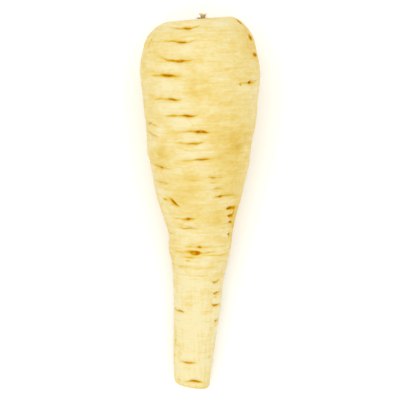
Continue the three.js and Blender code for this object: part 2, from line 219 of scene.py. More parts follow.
# Rows of OUTLINE between which one surface gives way to the next.
LEAF_SCARS_END = (CREST - 0.6, CREST + 0.1)
CORK_ENDS = (CREST - 1.1, CREST + 0.4)
RELIEF_STARTS = (CREST, CREST + 1.5)
RELIEF_ENDS = (CUT_EDGE, CUT_EDGE + 1)
FLESH_STARTS = (CUT_FACE - 0.5, CUT_FACE + 0.02)
RIM_STAIN = 0.2  # what is left of the stains past the relief's ends, as a share

# The tail, from the knee to the cut, as shares of the length.
TAIL_FIBRES_START = (KNEE, 0.8)
TAIL_PALES = (0.62, 0.72)
TAIL_PALE = 0.6

# The corky plug in the pit of a side root, as shares of the crease's core and eye.
PLUG_FROM = 0.7  # a crease that is stained darker than this keeps its plug
PLUG_WIDTH = 0.55
PLUG_HEIGHT = 0.65
PLUG_SAMPLES = 6000  # steps along the root in which its place is looked up
LEAST_PLUG_HEIGHT = 0.3  # half its height and half its thickness, in millimetres
PLUG_THICKNESS = 0.36
CORK_CRUMBS = 0.12  # how rough it is

# The stump.
FOOT = -0.8  # height of the dry plate's foot, a little sunk in the root
PLATE_BULGE = 0.05  # how uneven it is round its axis, as a share of its radius
BUD_TORN = 0.14  # how ragged the top of the bud is, while the plate stays smooth
FRAY = 0.25  # how rough the strands are
STRANDS_FROM = 0.6  # how far below the torn tops they spring
SCALE_GAP = 0.4  # between the plate and the innermost scale
SCALES_REACH = 8.4  # radius of the outermost scale
SCALE_HEIGHTS = (1.2, 1.0)  # of the innermost and the outermost scale
SCALE_FEET = (-0.5, 0.3)  # how high they stand above the middle of the hollow's floor
SCALES_TOP = 1.8  # height where their colour is that of a torn top

# Brown marks without a groove: along, turn, half-width and half-height, strength and slant.
Mark = namedtuple("Mark", "along turn wide high strength slant", defaults=(0,))
MARKS = (
    Mark(0.0165, 67, 0.9, 0.9, 1.0, 0.3),  # the right shoulder
    Mark(0.0165, 67, 0.7, 0.7, 0.9, 0.3),
    Mark(0.0215, 69, 0.9, 0.8, 0.4, 0.3),
    Mark(0.0265, 74, 2.4, 0.8, 0.2, 0.6),
    Mark(0.0595, 70.2, 2.6, 1.2, 0.82),
    Mark(0.052, 69.5, 1.5, 1.3, 0.35),
    Mark(0.101, 70.4, 3.3, 1.1, 0.8),
    Mark(0.1535, -32, 4.2, 0.9, 0.35),
    # Painted shade: a thin dark line along the right of the crown's rim, where the far edge of the hollow
    # lies in shade.
    Mark(0.007, 25, 5.0, 0.35, 0.3, -0.05),
    Mark(0.0615, 49, 3.0, 1.4, 0.12),
    Mark(0.09, 47.6, 1.5, 1.2, 0.12),
    Mark(0.1156, 34.3, 0.9, 0.8, 0.2),
    Mark(0.1375, 25.9, 1.4, 0.8, 0.14),
    Mark(0.1755, 41, 0.8, 0.7, 0.55),
    Mark(0.057, -63, 0.9, 0.8, 0.4),  # the left shoulder
    Mark(0.0745, -64, 0.8, 1.4, 0.35),
    Mark(0.0795, -70, 1.4, 2.0, 0.16),
    Mark(0.1415, -60, 1.3, 0.8, 0.16),
    Mark(0.1077, 0.7, 0.6, 1.1, 0.16),
    Mark(0.1135, -27, 3.0, 0.7, 0.3),  # golden wedges beside creases
    Mark(0.2575, -28, 2.2, 0.6, 0.28),
    Mark(0.2571, 26.2, 1.4, 0.45, 0.2),  # the right side of the body
    Mark(0.2665, 32, 1.5, 0.5, 0.22),
    Mark(0.3017, 46, 2.0, 1.4, 0.16),
    Mark(0.3572, 50.9, 3.0, 1.2, 0.14),
    Mark(0.4356, 53.3, 1.0, 0.8, 0.22),
    Mark(0.2815, -58, 5.5, 0.55, 0.3, 0.2),  # the left side
    Mark(0.3045, -66, 4.0, 0.5, 0.3, 0.2),
    Mark(0.273, -9.5, 2.2, 0.45, 0.16, 1.2),  # the middle of the body
    Mark(0.425, -7, 3.5, 0.5, 0.28),
    Mark(0.4316, 20, 4.0, 0.45, 0.16),
    Mark(0.4807, -52.4, 1.8, 0.7, 0.45),
    Mark(0.4807, -22, 3.5, 0.6, 0.12),
    Mark(0.4845, -39, 1.5, 1.4, 0.85, 0.5),
    Mark(0.492, -34.8, 1.6, 0.8, 0.5, 0.5),
    Mark(0.5091, 30.6, 2.4, 0.4, 0.24),
    Mark(0.538, 32, 1.2, 0.9, 0.22),
    Mark(0.5295, 12.7, 4.5, 0.4, 0.14),
    Mark(0.538, 12.8, 4.0, 0.4, 0.14),
    Mark(0.519, 60, 0.5, 1.9, 0.75),  # the crack that joins two side roots
    Mark(0.5575, 72, 0.6, 2.0, 0.5),
    Mark(0.58, 63, 0.8, 0.9, 0.85),
    Mark(0.5859, 42.7, 4.0, 0.4, 0.2),
    Mark(0.5485, -30.5, 1.5, 0.9, 0.16, -1.0),
    Mark(0.5025, 60, 2.4, 0.8, 0.4),
    Mark(0.6175, -12.5, 2.4, 0.35, 0.6, 0.1),  # the knee
    Mark(0.6235, -6, 1.0, 0.8, 0.55),
    Mark(0.635, -20.3, 4.2, 0.6, 0.34),
    Mark(0.6454, -24.2, 1.5, 0.5, 0.34),
    Mark(0.6356, 40, 3.0, 0.45, 0.12),
    Mark(0.6303, -70.5, 2.0, 0.5, 0.16),
    Mark(0.6642, -2.8, 9.0, 0.5, 0.13),
    Mark(0.6642, -43.2, 2.0, 0.9, 0.15),
    Mark(0.6544, 67, 0.9, 0.6, 0.24),
    Mark(0.6869, 61.8, 1.2, 1.2, 0.14),
    Mark(0.6607, -66.8, 1.7, 0.5, 0.28),
    Mark(0.7492, 46, 1.3, 0.5, 0.28),  # the tail
    Mark(0.8385, 43, 1.4, 1.4, 0.14),
    Mark(0.8734, -65, 0.8, 3.5, 0.2),
    Mark(0.9156, -69.4, 0.7, 1.6, 0.24),
    Mark(0.9156, 52, 1.4, 1.0, 0.2),
    Mark(0.9419, -16.7, 3.0, 0.5, 0.12),
    Mark(0.9806, -46, 1.3, 1.2, 0.22),
)

# Wide patches where the cream is deeper, or paler where the strength is below zero.
PATCHES = (
    Mark(0.417, -11, 6.5, 2.2, 0.5),
    Mark(0.447, -18, 5.0, 1.6, 0.35),
    Mark(0.47, -20, 6.0, 2.2, 0.4),
    Mark(0.188, -5.9, 1.6, 4.5, 0.25),
    Mark(0.216, -1.3, 1.3, 2.5, 0.2),
    Mark(0.325, -43, 2.4, 4.0, 0.4),
    Mark(0.36, -47.2, 3.2, 5.0, 0.8),
    Mark(0.49, 22, 2.4, 6.0, 0.35),
    Mark(0.335, 35, 9.0, 8.0, 0.45),
    # These two deepen the cream along the right edge, which lies darker than the left: partly the skin's own
    # deeper cream, partly painted shade.
    Mark(0.08, 66, 6.0, 14.0, 0.5),
    Mark(0.53, 68, 4.0, 10.0, 0.8),
    Mark(0.42, 42, 8.0, 12.0, 0.4),
    Mark(0.53, 30, 3.2, 3.0, 0.45),
    Mark(0.665, 5, 8.0, 0.8, 0.4),
    Mark(0.012, -32, 14.0, 4.5, -0.6),
    Mark(0.012, 28, 14.0, 4.5, -0.6),
    Mark(0.05, 10, 12.0, 5.0, -0.3),
    Mark(0.088, -14, 8.0, 3.5, -0.35),
    Mark(0.127, -34.5, 7.0, 3.5, -0.5),
    Mark(0.145, 22, 14.0, 9.0, -0.25),
    Mark(0.245, 8, 14.0, 4.0, -0.2),
    Mark(0.184, -32, 9.0, 4.5, -0.6),
    Mark(0.232, -25, 9.0, 3.5, -0.45),
    Mark(0.275, -15.7, 9.0, 3.5, -0.5),
    Mark(0.3142, -15.6, 8.0, 2.5, -0.5),
    Mark(0.304, -46.4, 4.5, 3.5, -0.9),
    Mark(0.351, -4.2, 9.0, 4.0, -0.55),
    Mark(0.388, -20, 8.0, 2.5, -0.35),
    Mark(0.2, 66, 4.0, 14.0, -0.25),
    Mark(0.5, -62, 4.0, 9.0, -0.6),
    Mark(0.57, -30, 8.0, 5.0, -0.3),
    Mark(0.6, 15, 6.0, 4.0, -0.3),
    Mark(0.7, -10, 7.0, 6.0, -0.4),
    Mark(0.82, -5, 6.0, 9.0, -0.5),
    Mark(0.93, 10, 5.0, 6.0, -0.15),
)

PATCH_WEIGHT = 0.42  # how strongly a patch deepens the cream

# How the skin's colour changes: for each pattern, the size of its grains across, along and up in
# millimetres, its detail, and how strongly it deepens the cream. The mottle is drawn at twice its real
# size, so that it shows.
SKIN_PATTERNS = {
    "clouds": ((22, 27, 22), 2, 0.45),
    "blotches": ((7, 3.4, 7), 3, 0.65),
    "mottle": ((2.1, 1.1, 2.1), 2, 0.42),
    "striae": ((15, 0.9, 15), 3, 0.5),
}


def linear(hex_colour):
    """The linear colour of an sRGB hex value, such as DEC678."""
    values = [int(hex_colour[i : i + 2], 16) / 255 for i in (0, 2, 4)]
    return tuple(v / 12.92 if v <= 0.04045 else ((v + 0.055) / 1.055) ** 2.4 for v in values)


def colour(name, description, hex_colour):
    """A colour property with its default as an sRGB hex value."""
    return FloatVectorProperty(
        name=name, description=description, default=linear(hex_colour), subtype="COLOR", size=3, min=0, max=1
    )


def length(name, description, millimetres):
    """A length property with its default in millimetres."""
    return FloatProperty(
        name=name, description=description, default=millimetres * MM, unit="LENGTH", min=0, precision=5
    )


def count(name, description, default):
    """A whole-number property."""
    return IntProperty(name=name, description=description, default=default, min=1)


class RootSizes(bpy.types.PropertyGroup):
    """Sizes of the root and of the relief of its skin."""

    root_length: length("Length", "From the crown's rim to the cut tip, along the root", 182)
    breadth: length("Breadth", "Across the widest place, just under the shoulders", 58)
    roundness: FloatProperty(
        name="Roundness",
        description="Height of a section as a share of its breadth",
        default=0.97,
        subtype="FACTOR",
    )
    tilt: FloatProperty(
        name="Tilt",
        description="Slope of the axis down to the thin end",
        default=math.radians(7),
        unit="ROTATION",
    )
    flat_depth: length("Flat depth", "How far the underside is pressed flat", 0.7)
    crease_depth: length("Crease depth", "Depth of the valley that a side root has left", 0.6)
    crease_width: length("Crease width", "Half the width of that valley", 1.3)
    slit_depth: length("Slit depth", "Further depth of the thin slit in the valley", 0.32)
    slit_width: length("Slit width", "Half the width of the slit", 0.42)
    pit_depth: length("Pit depth", "Further depth of the pit that the side root has left", 0.45)
    pit_width: length("Pit width", "Half the width of the pit", 2.4)
    wrinkle_depth: length("Wrinkle depth", "Depth of the wrinkles at the knee", 0.22)
    wrinkle_width: length("Wrinkle width", "Half the width of a wrinkle", 1.1)
    lump_height: length("Lump height", "Height of the low uneven swellings", 0.22)
    striae_height: length("Striae height", "Height of the fine striae that run round the root", 0.028)
    rows: count("Rows", "Sections along the skin's mesh", 556)
    columns: count("Columns", "Points round each section", 178)
    hairlines: count("Hairlines", "Fine cracks scattered over the skin", 260)


class SkinColours(bpy.types.PropertyGroup):
    """Colours of the washed skin, its stains and the cut flesh."""

    pale: colour("Pale cream", "Swollen skin between the creases", "E3D6A4")
    cream: colour("Cream", "The skin's usual colour", "DEC678")
    deep: colour("Deep cream", "Patches of thicker skin", "D3AF40")
    golden: colour("Golden", "Skin beside a crease", "DBBD51")
    honey: colour("Honey", "The thin end of a crease", "D3AB2D")
    ochre: colour("Ochre", "The line of a crease", "C69000")
    amber: colour("Amber", "The core of a crease", "BC7700")
    brown: colour("Brown", "The darkest core of a crease", "A65C00")
    dark: colour("Dark brown", "The deepest pits", "843A00")
    hollow: colour("Hollow", "Corky skin in the hollow of the crown", "BA9E64")
    flesh: colour("Flesh", "Freshly cut flesh at the tip", "E0D5AC")
    ring: colour("Ring", "The thin growth ring in the cut", "CBAE6C")


class StumpSizes(bpy.types.PropertyGroup):
    """Sizes and colours of the leaf-stalk remains in the crown."""

    stubs: count("Stubs", "Bases of leaf stalks round the bud", 8)
    inner_radius: length("Inner radius", "Radius of the innermost stub", 1.5)
    outer_radius: length("Outer radius", "Radius of the outermost stub", 2.7)
    inner_height: length("Inner height", "Height of the innermost stub", 3.7)
    outer_height: length("Outer height", "Height of the outermost stub", 2.9)
    base_radius: length("Base radius", "Radius of the dry plate under the stubs", 3.1)
    base_height: length("Base height", "Height of that plate", 1.3)
    bud_radius: length("Bud radius", "Radius of the dead bud in the middle", 1.0)
    bud_height: length("Bud height", "Height of the dead bud", 4.9)
    strands: count("Strands", "Frayed strands on the stubs", 44)
    strand_length: length("Strand length", "Length of a frayed strand", 1.2)
    strand_radius: length("Strand radius", "Radius of a frayed strand", 0.08)
    scales: count("Scales", "Low dry scales round the stubs", 24)
    # Painted shade: the foot of the stalks is coloured dark grey-olive, as shade falls there in the crown's
    # hollow.
    painted_shade_foot: colour("Shaded stalk", "The foot of the stalks, grey with dust", "80784F")
    dry: colour("Dry stalk", "Dry leaf stalk", "AE965C")
    tan: colour("Tan stalk", "Torn stalk below its frayed top", "CFA35A")
    frayed: colour("Frayed stalk", "Pale fibres at the torn tops", "E6D4A4")


class StudioSettings(bpy.types.PropertyGroup):
    """The camera, the lights and the floor."""

    camera_height: length("Camera height", "Height above the floor", 650)
    camera_offset: length("Camera offset", "How far past the middle the camera stands", 1.3)
    lens: FloatProperty(
        name="Lens", description="Focal length for a 36 mm sensor", default=115.3, unit="CAMERA"
    )
    surround: FloatProperty(name="Surround", description="Strength of the white surroundings", default=1.01)
    key: FloatProperty(name="Key", description="Power of the large softbox above", default=4.4, unit="POWER")
    softbox_size: length("Softbox size", "Each side of the softbox", 1200)
    softbox_place: FloatVectorProperty(
        name="Softbox place",
        description="Where the softbox hangs",
        default=(-0.15, 0, 1.1),
        subtype="TRANSLATION",
    )
    floor_size: length("Floor size", "Each side of the floor", 4000)
    floor: colour("Floor", "The pale floor", "FBFBFA")


# -----------------------------------------------------------------------------------------------------------
# Shape of the skin


def bell(x):
    """1 at 0, and about a third at 1 to each side."""
    return np.exp(-x * x)


def smoothstep(x, low, high):
    """0 up to low, 1 from high on, and a smooth rise between them."""
    share = np.clip((x - low) / (high - low), 0, 1)
    return share * share * (3 - 2 * share)


def patchy(across, radius, wave=0):
    """How strong an uneven line is along its length. The radius of its waves is in millimetres."""
    return 0.8 + 0.2 * np.sin(across / (radius * MM) + wave)


def drawer(seed):
    """A seeded draw between two values."""
    state = seed

    def draw(low, high):
        nonlocal state
        state = (state * 1664525 + 1013904223) % 2**32
        return low + (high - low) * state / 2**32

    return draw


def angle_between(a, b):
    """The signed difference of two angles, between minus pi and pi."""
    return np.arctan2(np.sin(a - b), np.cos(a - b))


def smooth_noise(rng, shape, rows, columns):
    """Noise with a spread of 1, smoothed over so many rows and columns, that closes in its columns."""
    waves = np.fft.fft2(rng.normal(size=shape))
    down = np.fft.fftfreq(shape[0])[:, None] * rows
    across = np.fft.fftfreq(shape[1])[None, :] * columns
    noise = np.fft.ifft2(waves * np.exp(-2 * math.pi**2 * (down**2 + across**2))).real
    return noise / noise.std()


def centripetal(points, place):
    """Places from 0 to 1 on a smooth curve through points, whose pace follows the root of their spacing."""
    points = np.vstack([2 * points[0] - points[1], points, 2 * points[-1] - points[-2]])
    spans = len(points) - 3
    span = np.minimum((place * spans).astype(int), spans - 1)
    part = (place * spans - span)[..., None]
    p0, p1, p2, p3 = (points[span + i] for i in range(4))
    pairs = ((p0, p1), (p1, p2), (p2, p3))
    t0, t1, t2 = (np.sqrt(np.linalg.norm(b - a, axis=-1))[..., None] for a, b in pairs)
    start = ((p1 - p0) / t0 - (p2 - p0) / (t0 + t1) + (p2 - p1) / t1) * t1
    end = ((p2 - p1) / t1 - (p3 - p1) / (t1 + t2) + (p3 - p2) / t2) * t1
    square = -3 * p1 + 3 * p2 - 2 * start - end
    cube = 2 * p1 - 2 * p2 + start + end
    return p1 + start * part + square * part**2 + cube * part**3


def side_edge(sizes, column):
    """One side edge's points in the root's own frame, where -Y runs along the root."""
    rows = np.array(OUTLINE)
    return np.stack([rows[:, column + 1] * sizes.breadth / 2, -rows[:, column] * sizes.root_length], -1)


def smooth_skin(sizes, place, turn):
    """Points of the skin without relief, how far along they are and the radius of their section."""
    place, turn = np.broadcast_arrays(place, turn)
    left = centripetal(side_edge(sizes, 0), place)
    right = centripetal(side_edge(sizes, 2), place)
    reach = (right - left) / 2
    radius = np.linalg.norm(reach, axis=-1)
    along = -(left + right)[..., 1] / 2 / sizes.root_length
    twist = along - REST_ALONG
    # Three swellings wind slowly one way along the root, and two lower ones wind the other way.
    lobes = 1 + LOBE_SHARE * (np.cos(3 * turn + 5 * twist) - 0.6 * np.cos(2 * turn - 9 * twist))
    flat = (left + right) / 2 + reach * np.sin(turn)[..., None]
    up = sizes.roundness * radius * np.cos(turn) * lobes
    return np.concatenate([flat, up[..., None]], -1), along, radius


def even_places(sizes, number, samples=4000):
    """Places from 0 to 1 that are evenly spaced on the skin, from the crown's middle to the cut's middle."""
    place = np.linspace(0, 1, samples)
    left = centripetal(side_edge(sizes, 0), place)
    right = centripetal(side_edge(sizes, 2), place)
    steps = np.hypot(np.diff((left + right)[:, 1] / 2), np.diff((right - left)[:, 0] / 2))
    walked = np.concatenate([[0], np.cumsum(steps)])
    return np.interp(np.linspace(0, walked[-1], number), walked, place)


def winding_at(along):
    """Where the rows of side roots lie, in degrees from the top."""
    return WIND_START + WIND * float(smoothstep(along, WIND_FROM, WIND_TO))


def unseen_creases():
    """Creases on the sides and the underside, placed by the rule of the four rows."""
    draw = drawer(SEED)
    look = drawer(SEED + 20)
    creases = []
    for row in range(ROWS_OF_SIDE_ROOTS):
        along = draw(*UNSEEN_FIRST)
        while along < UNSEEN_LAST:
            scatter = draw(-UNSEEN_SCATTER, UNSEEN_SCATTER)
            turn = winding_at(along) + 360 / ROWS_OF_SIDE_ROOTS * row + scatter
            around = math.degrees(angle_between(math.radians(turn), 0))
            girth = 1 + (UNSEEN_AT_TIP - 1) * along
            left = draw(UNSEEN_SHORTEST, UNSEEN_LONGEST) * girth
            right = draw(UNSEEN_SHORTEST, UNSEEN_LONGEST) * girth
            looks = [look(*between) for between in (*UNSEEN_STAINS, UNSEEN_SLANT, UNSEEN_BOW)]
            crease = Crease(along, around, left, right, *looks)
            on_flat = abs(around) > FLAT_TURN and FLAT_FROM < along < FLAT_TO
            if abs(around) > UNSEEN_TURN and not on_flat:
                creases.append(crease)
            along += UNSEEN_SPACING * draw(*UNSEEN_SPREAD)
    return creases


CREASES = list(UPPER_CREASES) + unseen_creases()


class Surface:
    """The grid of the skin with its relief and its stains, filled in step by step."""

    def __init__(self, sizes):
        self.sizes = sizes
        self.place = even_places(sizes, sizes.rows + 2)[1:-1, None]
        even = 2 * math.pi * np.arange(sizes.columns) / sizes.columns
        self.turn = (even - CROWDING * np.sin(even))[None, :]
        self.points, self.along, self.radius = smooth_skin(sizes, self.place, self.turn)
        self.row = np.broadcast_to(self.place * (len(OUTLINE) - 1), self.along.shape)
        self.height = np.zeros_like(self.along)
        self.stain = np.zeros_like(self.along)
        self.tone = np.zeros_like(self.along)

    def across(self, turn_degrees):
        """Distance round the root from a turn, towards the right."""
        return angle_between(self.turn, math.radians(turn_degrees)) * self.radius

    def down(self, along):
        """Distance past a place along the root, towards the tip."""
        return (self.along - along) * self.sizes.root_length

    def darken(self, amount):
        """Adds a stain, as far as the skin isn't stained yet."""
        self.stain = 1 - (1 - self.stain) * (1 - np.clip(amount, 0, 1))

    def press_crease(self, crease, wave):
        """The valley, lips, slit and pit of one crease."""
        sizes = self.sizes
        across = self.across(crease.turn)
        share = across / (np.where(across < 0, crease.left, crease.right) * MM)
        wobble = sum(
            stray * MM * np.sin(across / (radius * MM) + number * wave)
            for number, (stray, radius) in enumerate(CREASE_WAVES, 1)
        )
        down = self.down(crease.along) + crease.bow * MM * share**2 - crease.slant * across + wobble
        inside = np.abs(share) < CREASE_END
        valley = bell(down / sizes.crease_width)
        lips = bell((np.abs(down) - 2 * sizes.crease_width) / sizes.crease_width)
        self.height -= sizes.crease_depth * bell(CREASE_FADE * share) * inside * (valley - LIP_SHARE * lips)
        self.height -= sizes.pit_depth * valley * bell(across / sizes.pit_width)
        self.height -= sizes.slit_depth * bell(down / sizes.slit_width) * bell(SLIT_FADE * share)
        self.stain_crease(crease, across, down, share, wave)

    def stain_crease(self, crease, across, down, share, wave):
        """Its dark core or the rim of its oval scar, its thin line, its halo and the pale skin below."""
        far_across = across / (crease.core * MM)
        if crease.eye:
            middle, rim = EYE_RIM
            oval = np.hypot(far_across, down / (crease.eye * MM))
            self.darken(crease.dark * bell((oval - middle) / rim) * patchy(across, 0.8))
        else:
            thick = (CORE_WIDTH + CORE_WIDENS * crease.dark) * MM
            self.darken(crease.dark * np.exp(-(far_across**4)) * bell(down / thick))
        ends = 1 - smoothstep(np.abs(share), *LINE_FADE)
        self.darken(crease.line * ends * patchy(across, 1.6, 3 * wave) * bell(down / (LINE_WIDTH * MM)))
        halo = bell(down / (HALO_WIDTH * MM)) * bell(across / (HALO_LENGTH * crease.core * MM))
        self.darken(HALO_SHARE * crease.dark * halo)
        swollen = bell((down - SWOLLEN_BELOW * MM) / (SWOLLEN_WIDTH * MM)) * bell(share / SWOLLEN_LENGTH)
        self.tone -= SWOLLEN_PALE * swollen

    def press_wrinkles(self):
        """Shallow wrinkles that run round the knee. Each strays and changes in its own way."""
        sizes = self.sizes
        for start in WRINKLES_ALONG:
            down = self.down(start) + WRINKLE_WANDER * MM * np.sin(2 * self.turn + 40 * start)
            share = 1 - WRINKLE_CHANGE + WRINKLE_CHANGE * np.cos(self.turn + 25 * start)
            self.height -= sizes.wrinkle_depth * share * bell(down / sizes.wrinkle_width)
            self.darken(WRINKLE_STAIN * share * bell(down / (WRINKLE_LINE * MM)))

    def press_hairlines(self):
        """Fine cracks across the skin, more of them at the knee."""
        rng = np.random.default_rng(SEED)
        for _ in range(self.sizes.hairlines):
            at_knee = rng.random() < HAIRLINES_AT_KNEE
            along = rng.normal(KNEE, 0.06) if at_knee else rng.uniform(0.03, 0.97)
            across = self.across(rng.uniform(-180, 180))
            half = rng.uniform(*HAIRLINE_REACH) * MM * (1 - 0.5 * along)
            depth = rng.uniform(*HAIRLINE_DEPTH) * MM
            bend = rng.uniform(*HAIRLINE_BEND) * MM
            wobble = 0.15 * MM * np.sin(across / (1.9 * MM) + rng.uniform(0, 6))
            share = across / half
            down = self.down(along) + bend * share**2 + wobble - rng.normal(0, 0.05) * across
            line = bell(down / (HAIRLINE_WIDTH * MM)) * bell(share)
            self.height -= depth * line
            self.darken(rng.uniform(*HAIRLINE_STAIN) * line)

    def raise_lumps(self):
        """Low uneven swellings, and fine striae that run round the root."""
        rng = np.random.default_rng(SEED + 1)
        lumps = np.zeros_like(self.along)
        for _ in range(LUMP_WAVES):
            waves = rng.integers(1, 6)
            pace = rng.uniform(10, 60)
            round_it = np.sin(waves * self.turn + rng.uniform(0, 6))
            lumps += round_it * np.sin(pace * self.along + rng.uniform(0, 6))
        self.height += self.sizes.lump_height * lumps / LUMP_SPREAD
        self.height += self.sizes.striae_height * smooth_noise(rng, lumps.shape, 1.2, 7)
        self.height += 0.7 * self.sizes.striae_height * smooth_noise(rng, lumps.shape, 4, 4)

    def tint(self):
        """Marks and patches that are only colour."""
        self.tone -= TAIL_PALE * smoothstep(self.along, *TAIL_PALES)
        for mark in MARKS:
            across = self.across(mark.turn)
            down = self.down(mark.along) - mark.slant * across
            self.darken(mark.strength * bell(across / (mark.wide * MM)) * bell(down / (mark.high * MM)))
        for patch in PATCHES:
            across = self.across(patch.turn)
            down = self.down(patch.along)
            self.tone += patch.strength * bell(across / (patch.wide * MM)) * bell(down / (patch.high * MM))

    def scar_hollow(self):
        """Rings that old leaves have left in the hollow of the crown."""
        radius = self.radius / MM
        rise = smoothstep(radius, *LEAF_SCAR_RISE)
        rings = np.cos(2 * math.pi * radius / LEAF_SCAR_SPACING + self.turn)
        fine = np.cos(2 * math.pi * radius / FINE_RING_SPACING + 3 * np.sin(3 * self.turn))
        petals = 1 - LEAF_SCAR_CHANGE + LEAF_SCAR_CHANGE * np.cos(LEAF_SCAR_LOBES * self.turn)
        return MM * rise * (LEAF_SCAR_HEIGHT * petals * rings + FINE_RING_HEIGHT * fine)

    def finish(self):
        """The grid of points with its relief, and the numbers that its material reads."""
        hollow = 1 - smoothstep(self.row, *LEAF_SCARS_END)
        body = smoothstep(self.row, *RELIEF_STARTS) * (1 - smoothstep(self.row, *RELIEF_ENDS))
        height = hollow * self.scar_hollow() + body * self.height
        points = self.points + height[..., None] * outward(self.points)
        cut = smoothstep(self.row, *FLESH_STARTS)
        face_radius = self.radius[self.row[:, 0] < CUT_FACE][-1].max()
        return points, {
            "stain": self.stain * np.maximum(body, RIM_STAIN * (1 - hollow) * (1 - cut)),
            "tone": self.tone * body,
            "hollow": 1 - smoothstep(self.row, *CORK_ENDS),
            "cut": cut,
            "cut_radius": cut * self.radius / face_radius,
            "tail": smoothstep(self.along, *TAIL_FIBRES_START),
        }


def outward(points):
    """Unit directions out of a grid of points that closes on itself in its columns."""
    around = np.roll(points, -1, 1) - np.roll(points, 1, 1)
    down = np.gradient(points, axis=0)
    normal = np.cross(down, around)
    return normal / np.maximum(np.linalg.norm(normal, axis=-1, keepdims=True), 1e-12)


def lay_down(sizes, samples=600, step=3):
    """The turn and shift that lay the root on the floor, where its solid is. The step is in degrees."""
    place = np.linspace(0, 1, samples)[:, None]
    turn = np.radians(np.arange(0, 360, step))[None, :]
    points, _, _ = smooth_skin(sizes, place, turn)
    turned = points.reshape(-1, 3) @ np.array(Matrix.Rotation(sizes.tilt, 3, "X")).T
    low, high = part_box("root")
    x, y, _ = (low + high) / 2 - Vector((turned.min(0) + turned.max(0)) / 2)
    shift = Vector((x, y, -sizes.flat_depth - turned[:, 2].min()))
    return Matrix.Translation(shift) @ Matrix.Rotation(sizes.tilt, 4, "X")


def placed(points, matrix):
    """Points moved by a matrix."""
    matrix = np.array(matrix)
    return points @ matrix[:3, :3].T + matrix[:3, 3]


# -----------------------------------------------------------------------------------------------------------
# Meshes, nodes and materials


def make_object(name, mesh):
    """A new object in the scene, at the origin, with a smooth mesh."""
    mesh.shade_smooth()
    piece = bpy.data.objects.new(name, mesh)
    bpy.context.scene.collection.objects.link(piece)
    return piece


def grid_mesh(name, points, first_end, last_end):
    """A closed mesh from rings of points and a point at each end, with its faces outwards."""
    rows, columns = points.shape[:2]
    here = np.arange(rows * columns).reshape(rows, columns)
    beside = np.roll(here, -1, 1)
    quads = np.stack([here[:-1], here[1:], beside[1:], beside[:-1]], -1).reshape(-1, 4)
    first, last = rows * columns, rows * columns + 1
    caps = [(first, a, b) for a, b in zip(here[0].tolist(), beside[0].tolist())]
    caps += [(last, b, a) for a, b in zip(here[-1].tolist(), beside[-1].tolist())]
    vertices = np.vstack([points.reshape(-1, 3), first_end, last_end])
    mesh = bpy.data.meshes.new(name)
    mesh.from_pydata(vertices.tolist(), [], quads.tolist() + caps)
    return mesh


def store(mesh, name, values):
    """Keeps one number for each vertex, under a name that a material can read."""
    mesh.attributes.new(name, "FLOAT", "POINT").data.foreach_set("value", np.asarray(values, np.float32))


def socket_of(sockets, key):
    """A node's socket by its number, or the one in use by its name."""
    if isinstance(key, int):
        return sockets[key]
    return next(socket for socket in sockets if socket.enabled and socket.name == key)


def add(tree, kind, inputs=(), stops=(), **settings):
    """Adds a node with its settings, its inputs, by name or in order, and the stops of its colour ramp.

    An input is a value, a socket, or a node, which stands for its first output in use.
    """
    node = tree.nodes.new(kind)
    for name, value in settings.items():
        setattr(node, name, value)
    for key, value in inputs.items() if isinstance(inputs, dict) else enumerate(inputs):
        socket = socket_of(node.inputs, key)
        if isinstance(value, bpy.types.Node):
            value = next(output for output in value.outputs if output.enabled)
        if isinstance(value, bpy.types.NodeSocket):
            tree.links.new(value, socket)
        else:
            socket.default_value = (*value, 1) if socket.type == "RGBA" else value
    for number, (position, value) in enumerate(stops):
        if number >= len(node.color_ramp.elements):
            node.color_ramp.elements.new(position)
        node.color_ramp.elements[number].position = position
        node.color_ramp.elements[number].color = (*value, 1)
    return node


def new_material(name):
    """An empty material, its tree and its Object coordinates."""
    material = bpy.data.materials.new(name)
    material.use_nodes = True
    tree = material.node_tree
    tree.nodes.clear()
    return material, tree, add(tree, "ShaderNodeTexCoord").outputs["Object"]


def end_material(tree, look):
    """Ends a material's tree with its shader, whose inputs are given."""
    shader = add(tree, "ShaderNodeBsdfPrincipled", look)
    add(tree, "ShaderNodeOutputMaterial", {"Surface": shader})


def grained(tree, coordinates, grain, detail):
    """A pattern whose grains have these sizes across, along and up, in millimetres."""
    scale = tuple(1 / (size * MM) for size in grain)
    mapped = add(tree, "ShaderNodeMapping", {"Vector": coordinates, "Scale": scale})
    return add(tree, "ShaderNodeTexNoise", {"Vector": mapped, "Scale": 1.0, "Detail": detail})


